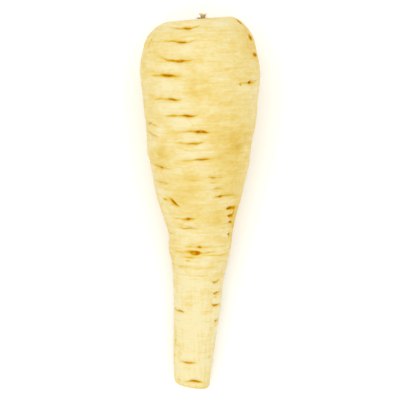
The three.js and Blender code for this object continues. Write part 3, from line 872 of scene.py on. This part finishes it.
def washed_skin(sizes, colours):
    """Scrubbed parsnip skin, a thin corky cream layer over moist flesh.

    It looks dull with a faint waxy gleam, light sinks in a little, and fine striae run round it.
    """
    material, tree, objects = new_material("washed_parsnip_skin")
    kept = {
        name: add(tree, "ShaderNodeAttribute", attribute_name=name).outputs["Fac"]
        for name in ("stain", "tone", "hollow", "cut", "cut_radius", "tail")
    }
    own = add(tree, "ShaderNodeMapping", {"Vector": objects, "Rotation": (-sizes.tilt, 0, 0)})

    # The cream, from its patches and patterns.
    offset = 0.5 - sum(weight for _, _, weight in SKIN_PATTERNS.values()) / 2
    level = add(tree, "ShaderNodeMath", (kept["tone"], PATCH_WEIGHT, offset), operation="MULTIPLY_ADD")
    noise = {}
    for name, (grain, detail, weight) in SKIN_PATTERNS.items():
        noise[name] = grained(tree, own, grain, detail)
        level = add(tree, "ShaderNodeMath", (noise[name], weight, level), operation="MULTIPLY_ADD")

    # Pale fibres run along the tail, 1.4 mm wide.
    fibres = grained(tree, own, (1.4, 30, 1.4), 2.0)
    centred = add(tree, "ShaderNodeMath", (fibres, 0.5), operation="SUBTRACT")
    on_tail = add(tree, "ShaderNodeMath", (centred, kept["tail"]), operation="MULTIPLY")
    level = add(tree, "ShaderNodeMath", (on_tail, -0.6, level), operation="MULTIPLY_ADD")
    creams = ((0.15, colours.pale), (0.5, colours.cream), (0.9, colours.deep))
    cream = add(tree, "ShaderNodeValToRGB", {"Fac": level}, creams)

    # The stains, broken up by the mottle, with hairlines 0.5 mm wide.
    threads = grained(tree, own, (6, 0.5, 6), 3.0)
    thinnest = {"Value": threads, "From Min": 0.6, "From Max": 0.75, "To Max": 0.1}
    cracks = add(tree, "ShaderNodeMapRange", thinnest)
    broken = add(tree, "ShaderNodeMath", (noise["mottle"], 0.7, 0.68), operation="MULTIPLY_ADD")
    stain = add(tree, "ShaderNodeMath", (kept["stain"], broken, cracks), operation="MULTIPLY_ADD")
    browns = (
        (0.12, colours.golden),
        (0.32, colours.honey),
        (0.5, colours.ochre),
        (0.7, colours.amber),
        (0.85, colours.brown),
        (1.0, colours.dark),
    )
    brown = add(tree, "ShaderNodeValToRGB", {"Fac": stain}, browns)
    cover = add(tree, "ShaderNodeMapRange", {"Value": stain, "From Min": 0.02, "From Max": 0.32})
    skin = add(tree, "ShaderNodeMix", {"Factor": cover, "A": cream, "B": brown}, data_type="RGBA")

    # The hollow of the crown, where the skin is corky.
    corks = ((0.3, colours.hollow), (0.7, colours.cream))
    cork = add(tree, "ShaderNodeValToRGB", {"Fac": noise["blotches"]}, corks)
    corky = add(tree, "ShaderNodeMath", (kept["hollow"], 0.8), operation="MULTIPLY")
    skin = add(tree, "ShaderNodeMix", {"Factor": corky, "A": skin, "B": cork}, data_type="RGBA")

    # The cut: pale flesh, with a thin ring between its bark and its core.
    from_ring = add(tree, "ShaderNodeMath", (kept["cut_radius"], 0.56), operation="SUBTRACT")
    beside = add(tree, "ShaderNodeMath", (from_ring,), operation="ABSOLUTE")
    ring = add(tree, "ShaderNodeMapRange", {"Value": beside, "From Max": 0.06, "To Min": 0.7, "To Max": 0.0})
    ringed = {"Factor": ring, "A": colours.flesh, "B": colours.ring}
    flesh = add(tree, "ShaderNodeMix", ringed, data_type="RGBA")
    surface = add(tree, "ShaderNodeMix", {"Factor": kept["cut"], "A": skin, "B": flesh}, data_type="RGBA")

    coarse = add(tree, "ShaderNodeBump", {"Strength": 0.5, "Distance": 0.0003, "Height": noise["striae"]})
    finer = {"Strength": 0.5, "Distance": 0.00016, "Height": threads, "Normal": coarse}
    fine = add(tree, "ShaderNodeBump", finer)
    gleam = add(tree, "ShaderNodeMapRange", {"Value": noise["blotches"], "To Min": 0.44, "To Max": 0.66})
    dulled = add(tree, "ShaderNodeMapRange", {"Value": cover, "To Min": 0.5, "To Max": 0.02})
    look = {
        "Base Color": surface,
        "Roughness": gleam,
        "IOR": 1.38,
        "Specular IOR Level": dulled,
        "Subsurface Weight": 0.1,
        "Subsurface Radius": (1.0, 0.65, 0.3),
        "Subsurface Scale": 0.0015,
        "Normal": fine,
    }
    end_material(tree, look)
    return material


def corky_scar(colours):
    """The corky plug that closes a side root's wound: rough and dull, brown at its rim and tan inside."""
    material, tree, objects = new_material("corky_side_root_scar")
    crumbs = grained(tree, objects, (0.7, 0.7, 0.7), 3.0)
    rim = add(tree, "ShaderNodeAttribute", attribute_name="rim").outputs["Fac"]
    worn = add(tree, "ShaderNodeMath", (crumbs, 0.4, rim), operation="MULTIPLY_ADD")
    browns = ((0.4, colours.honey), (0.75, colours.ochre), (1.0, colours.amber))
    surface = add(tree, "ShaderNodeValToRGB", {"Fac": worn}, browns)
    bump = add(tree, "ShaderNodeBump", {"Strength": 0.6, "Distance": 0.0002, "Height": crumbs})
    end_material(tree, {"Base Color": surface, "Roughness": 0.85, "Specular IOR Level": 0.1, "Normal": bump})
    return material


def dry_stalk(stump):
    """Dry leaf stalk: matt and fibrous, darker and greyer at its foot with painted shade, since the foot
    stands in the shade of the hollow, tan above and pale at its frayed top.
    """
    material, tree, objects = new_material("dry_leaf_stalk")
    ribs = grained(tree, objects, (0.4, 2.6, 0.4), 3.0)
    patches = grained(tree, objects, (2, 2, 2), 2.0)
    up = add(tree, "ShaderNodeAttribute", attribute_name="up").outputs["Fac"]
    level = add(tree, "ShaderNodeMath", (ribs, 0.5, up), operation="MULTIPLY_ADD")
    level = add(tree, "ShaderNodeMath", (patches, 0.4, level), operation="MULTIPLY_ADD")
    level = add(tree, "ShaderNodeMath", (level, 0.45), operation="SUBTRACT")
    # The lowest stop is painted shade, which darkens the stalks' foot in the hollow.
    tans = ((0.35, stump.painted_shade_foot), (0.6, stump.dry), (0.72, stump.tan), (0.87, stump.frayed))
    surface = add(tree, "ShaderNodeValToRGB", {"Fac": level}, tans)
    bump = add(tree, "ShaderNodeBump", {"Strength": 0.7, "Distance": 0.0002, "Height": ribs})
    end_material(tree, {"Base Color": surface, "Roughness": 0.9, "Normal": bump})
    return material


def pale_floor(studio):
    """A matt painted board, nearly white, so that it shows only the soft shade under the root."""
    material, tree, objects = new_material("matt_white_board")
    grain = grained(tree, objects, (3, 3, 3), 2.0)
    bump = add(tree, "ShaderNodeBump", {"Strength": 0.05, "Distance": 0.0002, "Height": grain})
    end_material(tree, {"Base Color": studio.floor, "Roughness": 0.9, "Normal": bump})
    return material


# -----------------------------------------------------------------------------------------------------------
# Geometry Nodes


SOCKETS = {int: "NodeSocketInt", float: "NodeSocketFloat", type(None): "NodeSocketMaterial"}
FINISH = {"Roughening": 0.0002, "Grains per metre": 1200.0, "Material": None}


def new_tree(name, inputs):
    """A geometry tree with named inputs and their defaults. Returns it and its input sockets."""
    tree = bpy.data.node_groups.new(name, "GeometryNodeTree")
    tree.interface.new_socket("Geometry", in_out="INPUT", socket_type="NodeSocketGeometry")
    for label, default in inputs.items():
        socket = tree.interface.new_socket(label, in_out="INPUT", socket_type=SOCKETS[type(default)])
        if default is not None:
            socket.default_value = default
    tree.interface.new_socket("Geometry", in_out="OUTPUT", socket_type="NodeSocketGeometry")
    return tree, tree.nodes.new("NodeGroupInput").outputs


def end_tree(tree, given, copies):
    """Sets a copy on each point, realizes and roughens the copies, sets their material and ends the tree."""
    placed_copies = add(tree, "GeometryNodeInstanceOnPoints", copies)
    real = add(tree, "GeometryNodeRealizeInstances", {"Geometry": placed_copies})
    noise = add(tree, "ShaderNodeTexNoise", {"Scale": given["Grains per metre"], "Detail": 2.0})
    halves = (0.5, 0.5, 0.5)
    centred = add(tree, "ShaderNodeVectorMath", (noise.outputs["Color"], halves), operation="SUBTRACT")
    strength = {"Vector": centred, "Scale": given["Roughening"]}
    offset = add(tree, "ShaderNodeVectorMath", strength, operation="SCALE")
    rough = add(tree, "GeometryNodeSetPosition", {"Geometry": real, "Offset": offset})
    dressed = add(tree, "GeometryNodeSetMaterial", {"Geometry": rough, "Material": given["Material"]})
    add(tree, "NodeGroupOutput", {"Geometry": dressed})


def grow(name, tree, mesh, values):
    """Runs a tree on a mesh and returns its result as a plain mesh."""
    carrier = bpy.data.objects.new(name, mesh)
    bpy.context.scene.collection.objects.link(carrier)
    modifier = carrier.modifiers.new("Grow", "NODES")
    modifier.node_group = tree
    for item in tree.interface.items_tree:
        if item.item_type == "SOCKET" and item.in_out == "INPUT" and item.name in values:
            modifier[item.identifier] = values[item.name]
    depsgraph = bpy.context.evaluated_depsgraph_get()
    grown = bpy.data.meshes.new_from_object(
        carrier.evaluated_get(depsgraph), preserve_all_data_layers=True, depsgraph=depsgraph
    )
    carrier.modifiers.remove(modifier)
    bpy.data.objects.remove(carrier)
    grown.name = name
    return grown


def scar_tree():
    """A low oval plug at each point, turned and sized by the point's own attributes."""
    tree, given = new_tree("side_root_scars", {"Segments": 16, **FINISH})
    ball = add(tree, "GeometryNodeMeshUVSphere", {"Segments": given["Segments"], "Rings": 8, "Radius": 1.0})
    position = add(tree, "GeometryNodeInputPosition")
    flat = add(tree, "ShaderNodeVectorMath", (position, (1, 1, 0)), operation="MULTIPLY")
    rim = add(tree, "ShaderNodeVectorMath", (flat,), operation="LENGTH")
    marked = add(tree, "GeometryNodeStoreNamedAttribute", {"Geometry": ball, "Name": "rim", "Value": rim})
    facing = add(tree, "GeometryNodeInputNamedAttribute", {"Name": "facing"}, data_type="FLOAT_VECTOR")
    reach = add(tree, "GeometryNodeInputNamedAttribute", {"Name": "reach"}, data_type="FLOAT_VECTOR")
    plugs = {"Points": given["Geometry"], "Instance": marked, "Rotation": facing, "Scale": reach}
    end_tree(tree, given, plugs)
    return tree


def spiral_tree():
    """Copies of the mesh in a golden-angle spiral about Z, each as wide and as tall as its place asks."""
    inputs = {
        "Count": 8,
        "Inner radius": 0.0015,
        "Outer radius": 0.0027,
        "Inner height": 0.0037,
        "Outer height": 0.0029,
        "Inner foot": 0.0,
        "Outer foot": 0.0,
        "Seed": SEED,
        **FINISH,
    }
    tree, given = new_tree("leaf_spiral", inputs)
    points = add(tree, "GeometryNodeMeshLine", {"Count": given["Count"], "Offset": (0, 0, 0)})
    index = add(tree, "GeometryNodeInputIndex")
    last = add(tree, "ShaderNodeMath", (given["Count"], 1.0), operation="SUBTRACT")
    share = add(tree, "ShaderNodeMath", (index, last), operation="DIVIDE")
    fall = add(tree, "ShaderNodeMath", (share,), operation="SQRT")  # they step down quickly near the middle
    radius, tall, foot = (
        add(
            tree,
            "ShaderNodeMapRange",
            {"Value": value, "To Min": given["Inner " + size], "To Max": given["Outer " + size]},
        )
        for size, value in (("radius", share), ("height", fall), ("foot", share))
    )
    draw = add(tree, "FunctionNodeRandomValue", {"Min": 0.85, "Max": 1.12, "Seed": given["Seed"]})
    tall = add(tree, "ShaderNodeMath", (tall, draw), operation="MULTIPLY")
    size = add(tree, "ShaderNodeCombineXYZ", (radius, radius, tall))
    place = add(tree, "ShaderNodeCombineXYZ", {"Z": foot})
    turn = add(tree, "ShaderNodeMath", (index, GOLDEN_ANGLE), operation="MULTIPLY")
    facing = add(tree, "ShaderNodeCombineXYZ", {"Z": turn})
    raised = add(tree, "GeometryNodeSetPosition", {"Geometry": points, "Offset": place})
    copies = {"Points": raised, "Instance": given["Geometry"], "Rotation": facing, "Scale": size}
    end_tree(tree, given, copies)
    return tree


def strand_tree():
    """A thin bent strand on each point, leaning outwards by a seeded draw and turned with its point."""
    inputs = {
        "Length": 0.0012,
        "Radius": 0.00008,
        "Least lean": 0.1,
        "Most lean": 0.6,
        "Seed": SEED,
        **FINISH,
    }
    tree, given = new_tree("frayed_strands", inputs)
    bend = add(tree, "ShaderNodeMath", (given["Length"], 0.3), operation="MULTIPLY")
    middle = add(tree, "ShaderNodeMath", (given["Length"], 0.55), operation="MULTIPLY")
    knee = add(tree, "ShaderNodeCombineXYZ", {"Z": middle})
    tip = add(tree, "ShaderNodeCombineXYZ", {"X": bend, "Z": given["Length"]})
    ends = {"Resolution": 6, "Start": (0, 0, 0), "Middle": knee, "End": tip}
    bow = add(tree, "GeometryNodeCurveQuadraticBezier", ends)
    along = add(tree, "GeometryNodeSplineParameter").outputs["Factor"]
    taper = add(tree, "ShaderNodeMath", (along, -0.7, 1.0), operation="MULTIPLY_ADD")
    tapered = add(tree, "GeometryNodeSetCurveRadius", {"Curve": bow, "Radius": taper})
    section = add(tree, "GeometryNodeCurvePrimitiveCircle", {"Resolution": 5, "Radius": given["Radius"]})
    rod = {"Curve": tapered, "Profile Curve": section, "Fill Caps": True}
    tube = add(tree, "GeometryNodeCurveToMesh", rod)
    leans = {"Min": given["Least lean"], "Max": given["Most lean"], "Seed": given["Seed"]}
    lean = add(tree, "FunctionNodeRandomValue", leans)
    position = add(tree, "GeometryNodeInputPosition")
    parts = add(tree, "ShaderNodeSeparateXYZ", (position,))
    around = add(tree, "ShaderNodeMath", (parts.outputs["Y"], parts.outputs["X"]), operation="ARCTAN2")
    facing = add(tree, "ShaderNodeCombineXYZ", {"Y": lean, "Z": around})
    size = add(tree, "FunctionNodeRandomValue", {"Min": 0.5, "Max": 1.1, "Seed": given["Seed"]})
    strands = {"Points": given["Geometry"], "Instance": tube, "Rotation": facing, "Scale": size}
    end_tree(tree, given, strands)
    return tree


# -----------------------------------------------------------------------------------------------------------
# Pieces


class PARSNIP_OT_root(bpy.types.Operator):
    """Builds the root's fine skin in place of its plain solid"""

    bl_idname = "parsnip.root"
    bl_label = "Root"

    def execute(self, context):
        sizes = context.scene.parsnip_root
        surface = Surface(sizes)
        waves = drawer(SEED + 40)
        for crease in CREASES:
            surface.press_crease(crease, waves(0, 6))
        surface.press_wrinkles()
        surface.press_hairlines()
        surface.raise_lumps()
        surface.tint()
        points, kept = surface.finish()
        ends, _, _ = smooth_skin(sizes, np.array([0.0, 1.0]), np.array([0.0, 0.0]))
        matrix = lay_down(sizes)
        points = placed(points, matrix)
        ends = placed(ends, matrix)
        points[..., 2] = np.maximum(points[..., 2], 0)
        mesh = grid_mesh("parsnip_root", points, ends[0], ends[1])
        for name, values in kept.items():
            store(mesh, name, np.concatenate([values.ravel(), [values[0].mean(), values[-1].mean()]]))
        root = make_object("parsnip_root", mesh)
        root.data.materials.append(washed_skin(sizes, context.scene.parsnip_skin))
        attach(root, BODY)
        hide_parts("root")
        return {"FINISHED"}


class PARSNIP_OT_scars(bpy.types.Operator):
    """Sets a corky plug in each dark pit that a side root has left"""

    bl_idname = "parsnip.scars"
    bl_label = "Side-root scars"

    def execute(self, context):
        sizes = context.scene.parsnip_root
        matrix = lay_down(sizes)
        chosen = [crease for crease in CREASES if crease.dark > PLUG_FROM]
        place = np.linspace(CREST / (len(OUTLINE) - 1), 1, PLUG_SAMPLES)
        _, along, _ = smooth_skin(sizes, place, np.zeros_like(place))
        turn = np.radians([crease.turn for crease in chosen])
        at = np.interp([crease.along for crease in chosen], along, place)
        step = 1e-4
        centre, _, _ = smooth_skin(sizes, at, turn)
        sideways = smooth_skin(sizes, at, turn + step)[0] - smooth_skin(sizes, at, turn - step)[0]
        onwards = smooth_skin(sizes, at + step, turn)[0] - smooth_skin(sizes, at - step, turn)[0]
        out = np.cross(onwards, sideways)
        out /= np.linalg.norm(out, axis=-1, keepdims=True)
        depth = sizes.crease_depth + sizes.pit_depth + sizes.slit_depth
        mesh = bpy.data.meshes.new("scar_points")
        mesh.from_pydata(placed(centre - depth * out, matrix).tolist(), [], [])
        turned = np.array(matrix)[:3, :3]
        facing, reach = [], []
        for crease, side, normal in zip(chosen, sideways @ turned.T, out @ turned.T):
            x = Vector(side).normalized()
            z = Vector(normal).normalized()
            facing.append(Matrix((x, z.cross(x), z)).transposed().to_euler())
            high = max(PLUG_HEIGHT * crease.eye, LEAST_PLUG_HEIGHT)
            reach.append((PLUG_WIDTH * crease.core * MM, high * MM, PLUG_THICKNESS * MM))
        for name, values in (("facing", facing), ("reach", reach)):
            layer = mesh.attributes.new(name, "FLOAT_VECTOR", "POINT")
            layer.data.foreach_set("vector", np.array(values, np.float32).ravel())
        values = {"Roughening": CORK_CRUMBS * MM, "Material": corky_scar(context.scene.parsnip_skin)}
        scars = make_object("side_root_scars", grow("side_root_scars", scar_tree(), mesh, values))
        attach(scars, BODY)
        return {"FINISHED"}


def dry_base(stump):
    """The low dry plate with the dead bud on it, turned about Z, its foot a little sunk in the root."""
    plate, tall = stump.base_radius, stump.base_height
    bud, bud_tall = stump.bud_radius, stump.bud_height
    foot = FOOT * MM
    profile = np.array(
        (
            (0.8 * plate, foot),
            (0.97 * plate, 0.1 * tall),
            (plate, 0.5 * tall),
            (0.88 * plate, 0.85 * tall),
            (0.6 * plate, tall),
            (1.5 * bud, 1.05 * tall),
            (1.15 * bud, 1.6 * tall),
            (0.95 * bud, 0.6 * bud_tall),
            (bud, 0.72 * bud_tall),
            (1.3 * bud, 0.84 * bud_tall),
            (1.6 * bud, 0.94 * bud_tall),
            (1.45 * bud, bud_tall),
            (0.9 * bud, 0.93 * bud_tall),
        )
    )
    rows, columns = 60, 64
    turn = (2 * math.pi * np.arange(columns) / columns)[None, :]
    rim = centripetal(profile, np.linspace(0, 1, rows))
    rng = np.random.default_rng(SEED + 5)
    radius = rim[:, :1] * (1 + PLATE_BULGE * smooth_noise(rng, (rows, columns), 4, 2.5))
    torn = BUD_TORN * MM * smooth_noise(rng, (rows, columns), 2, 2)
    height = rim[:, 1:] + torn * (rim[:, 1:] / bud_tall) ** 4
    points = np.stack([radius * np.cos(turn), -radius * np.sin(turn), height], -1)
    from_the_top = points[::-1, ::-1]  # both ways round, so that its normals point outward
    return grid_mesh("dry_base", from_the_top, (0, 0, 0.9 * bud_tall), (0, 0, foot))


def curved_wall(half_angle, thickness, lean, arch, rows=8, columns=13):
    """A closed wall round part of a circle of radius 1, from Z 0 to Z 1.

    Its top leans out and is arched, and the wall grows thinner towards its top and its sides.
    """
    up = np.linspace(0, 1, rows)[:, None]
    side = np.linspace(-1, 1, columns)[None, :]
    walls = []
    for inwards in (0, 1):
        set_in = inwards * thickness * (1 - 0.7 * np.abs(side) ** 3) * (1 - 0.5 * up)
        radius = 1 + lean * up**2 - set_in
        height = up * (1 - arch * side**2)
        angle = half_angle * side + 0 * up
        walls.append(np.stack([radius * np.cos(angle), radius * np.sin(angle), height], -1))
    shell = bmesh.new()
    outer, inner = ([[shell.verts.new(point) for point in row] for row in wall] for wall in walls)
    for wall in (outer, inner):
        for below, above in zip(wall, wall[1:]):
            for a, b, c, d in zip(below, below[1:], above[1:], above):
                shell.faces.new((a, b, c, d))
    for edge_a, edge_b in (
        (outer[0], inner[0]),
        (outer[-1], inner[-1]),
        ([row[0] for row in outer], [row[0] for row in inner]),
        ([row[-1] for row in outer], [row[-1] for row in inner]),
    ):
        for a, b, c, d in zip(edge_a, edge_a[1:], edge_b[1:], edge_b):
            shell.faces.new((a, b, c, d))
    bmesh.ops.recalc_face_normals(shell, faces=shell.faces)
    mesh = bpy.data.meshes.new("curved_wall")
    shell.to_mesh(mesh)
    shell.free()
    return mesh


def stand_in_crown(piece, context, tall):
    """Moves a piece that was made about Z into the crown's hollow, along the root's own axis."""
    sizes = context.scene.parsnip_root
    places = np.empty(3 * len(piece.data.vertices))
    piece.data.vertices.foreach_get("co", places)
    store(piece.data, "up", places[2::3] / tall)
    floor, _, _ = smooth_skin(sizes, np.array([0.0]), np.array([0.0]))
    upright = Matrix.Translation(Vector(floor[0])) @ Matrix.Rotation(-math.pi / 2, 4, "X")
    piece.data.transform(lay_down(sizes) @ upright)
    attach(piece, BODY)


class PARSNIP_OT_stump(bpy.types.Operator):
    """Stands the bases of the leaf stalks and their dead bud in the hollow of the crown"""

    bl_idname = "parsnip.stump"
    bl_label = "Leaf-stalk stump"

    def execute(self, context):
        stump = context.scene.parsnip_stump
        material = dry_stalk(stump)
        sizes = ("inner_radius", "outer_radius", "inner_height", "outer_height")
        values = {size.replace("_", " ").capitalize(): getattr(stump, size) for size in sizes}
        values |= {"Count": stump.stubs, "Material": material}
        wall = curved_wall(half_angle=0.75, thickness=0.3, lean=0.16, arch=0.3)
        walls = make_object("walls", grow("walls", spiral_tree(), wall, values))
        base = make_object("leaf_stalk_stump", dry_base(stump))
        base.data.materials.append(material)
        with context.temp_override(active_object=base, selected_editable_objects=[base, walls]):
            bpy.ops.object.join()
        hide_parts("leaf_stalk_stubs")
        stand_in_crown(base, context, stump.bud_height)
        return {"FINISHED"}


class PARSNIP_OT_strands(bpy.types.Operator):
    """Adds the frayed strands that stand out of the stalks' torn tops"""

    bl_idname = "parsnip.strands"
    bl_label = "Frayed strands"

    def execute(self, context):
        stump = context.scene.parsnip_stump
        rng = np.random.default_rng(SEED + 8)
        points = []
        rims = ((1.3 * stump.bud_radius, stump.bud_height), (stump.outer_radius, stump.outer_height))
        for i in range(stump.strands):
            rim, height = rims[i % 2]
            radius = rim * rng.uniform(0.7, 1.05)
            angle = i * GOLDEN_ANGLE + rng.uniform(-0.3, 0.3)
            springs_at = height - STRANDS_FROM * MM
            points.append((radius * math.cos(angle), radius * math.sin(angle), springs_at))
        mesh = bpy.data.meshes.new("strand_points")
        mesh.from_pydata(points, [], [])
        values = {
            "Length": stump.strand_length,
            "Radius": stump.strand_radius,
            "Roughening": FRAY * MM,
            "Material": bpy.data.materials["dry_leaf_stalk"],
        }
        strands = make_object("frayed_strands", grow("frayed_strands", strand_tree(), mesh, values))
        stand_in_crown(strands, context, stump.bud_height)
        return {"FINISHED"}


class PARSNIP_OT_scales(bpy.types.Operator):
    """Rings the stump with the low dry scales that older leaves have left"""

    bl_idname = "parsnip.scales"
    bl_label = "Leaf-base scales"

    def execute(self, context):
        stump = context.scene.parsnip_stump
        values = {
            "Count": stump.scales,
            "Inner radius": stump.base_radius + SCALE_GAP * MM,
            "Outer radius": SCALES_REACH * MM,
            "Inner height": SCALE_HEIGHTS[0] * MM,
            "Outer height": SCALE_HEIGHTS[1] * MM,
            "Inner foot": SCALE_FEET[0] * MM,
            "Outer foot": SCALE_FEET[1] * MM,
            "Seed": SEED + 3,
            "Material": bpy.data.materials["dry_leaf_stalk"],
        }
        scale = curved_wall(half_angle=0.42, thickness=0.07, lean=0.1, arch=0.75)
        tree = bpy.data.node_groups["leaf_spiral"]
        scales = make_object("leaf_base_scales", grow("leaf_base_scales", tree, scale, values))
        stand_in_crown(scales, context, SCALES_TOP * MM)
        return {"FINISHED"}


class PARSNIP_OT_stage(bpy.types.Operator):
    """Makes the camera, the soft light and the pale floor"""

    bl_idname = "parsnip.stage"
    bl_label = "Stage"

    def execute(self, context):
        scene = context.scene
        studio = scene.parsnip_studio
        camera = bpy.data.cameras.new("camera")
        camera.lens = studio.lens
        camera.sensor_width = SENSOR
        camera.clip_start = 0.01
        eye = bpy.data.objects.new("camera", camera)
        eye.location = (0, studio.camera_offset, studio.camera_height)
        scene.collection.objects.link(eye)
        scene.camera = eye

        light = bpy.data.lights.new("overhead_softbox", "AREA")
        light.size = studio.softbox_size
        light.energy = studio.key
        softbox = bpy.data.objects.new("overhead_softbox", light)
        softbox.location = studio.softbox_place
        scene.collection.objects.link(softbox)
        world = bpy.data.worlds.new("studio")
        world.use_nodes = True
        background = world.node_tree.nodes["Background"].inputs
        background["Color"].default_value = (1, 1, 1, 1)
        background["Strength"].default_value = studio.surround
        scene.world = world
        scene.view_settings.view_transform = "Standard"

        half = studio.floor_size / 2
        mesh = bpy.data.meshes.new("floor")
        corners = [(-half, -half, 0), (half, -half, 0), (half, half, 0), (-half, half, 0)]
        mesh.from_pydata(corners, [], [(0, 1, 2, 3)])
        floor = make_object("floor", mesh)
        floor.data.materials.append(pale_floor(studio))
        return {"FINISHED"}


class PARSNIP_PT_sidebar(bpy.types.Panel):
    """Lists the pieces and their sizes"""

    bl_label = "Parsnip"
    bl_idname = "PARSNIP_PT_sidebar"
    bl_space_type = "VIEW_3D"
    bl_region_type = "UI"
    bl_category = "Parsnip"

    def draw(self, context):
        for operator in OPERATORS:
            self.layout.operator(operator.bl_idname)
        for name in GROUPS:
            group = getattr(context.scene, name)
            box = self.layout.box()
            box.label(text=name.replace("_", " ").capitalize())
            for key in group.__annotations__:
                box.prop(group, key)


OPERATORS = (
    PARSNIP_OT_stage,
    PARSNIP_OT_root,
    PARSNIP_OT_scars,
    PARSNIP_OT_stump,
    PARSNIP_OT_strands,
    PARSNIP_OT_scales,
)
GROUPS = {
    "parsnip_root": RootSizes,
    "parsnip_skin": SkinColours,
    "parsnip_stump": StumpSizes,
    "parsnip_studio": StudioSettings,
}


def register():
    for group in GROUPS.values():
        bpy.utils.register_class(group)
    for name, group in GROUPS.items():
        setattr(bpy.types.Scene, name, PointerProperty(type=group))
    for operator in OPERATORS:
        bpy.utils.register_class(operator)
    bpy.utils.register_class(PARSNIP_PT_sidebar)


def unregister():
    bpy.utils.unregister_class(PARSNIP_PT_sidebar)
    for operator in reversed(OPERATORS):
        bpy.utils.unregister_class(operator)
    for name in GROUPS:
        delattr(bpy.types.Scene, name)
    for group in reversed(GROUPS.values()):
        bpy.utils.unregister_class(group)


def main():
    register()
    bpy.ops.parsnip.stage()
    bpy.ops.parsnip.root()
    bpy.ops.parsnip.scars()
    bpy.ops.parsnip.stump()
    bpy.ops.parsnip.strands()
    bpy.ops.parsnip.scales()
    bpy.context.view_layer.update()


if __name__ == "__main__":
    main()
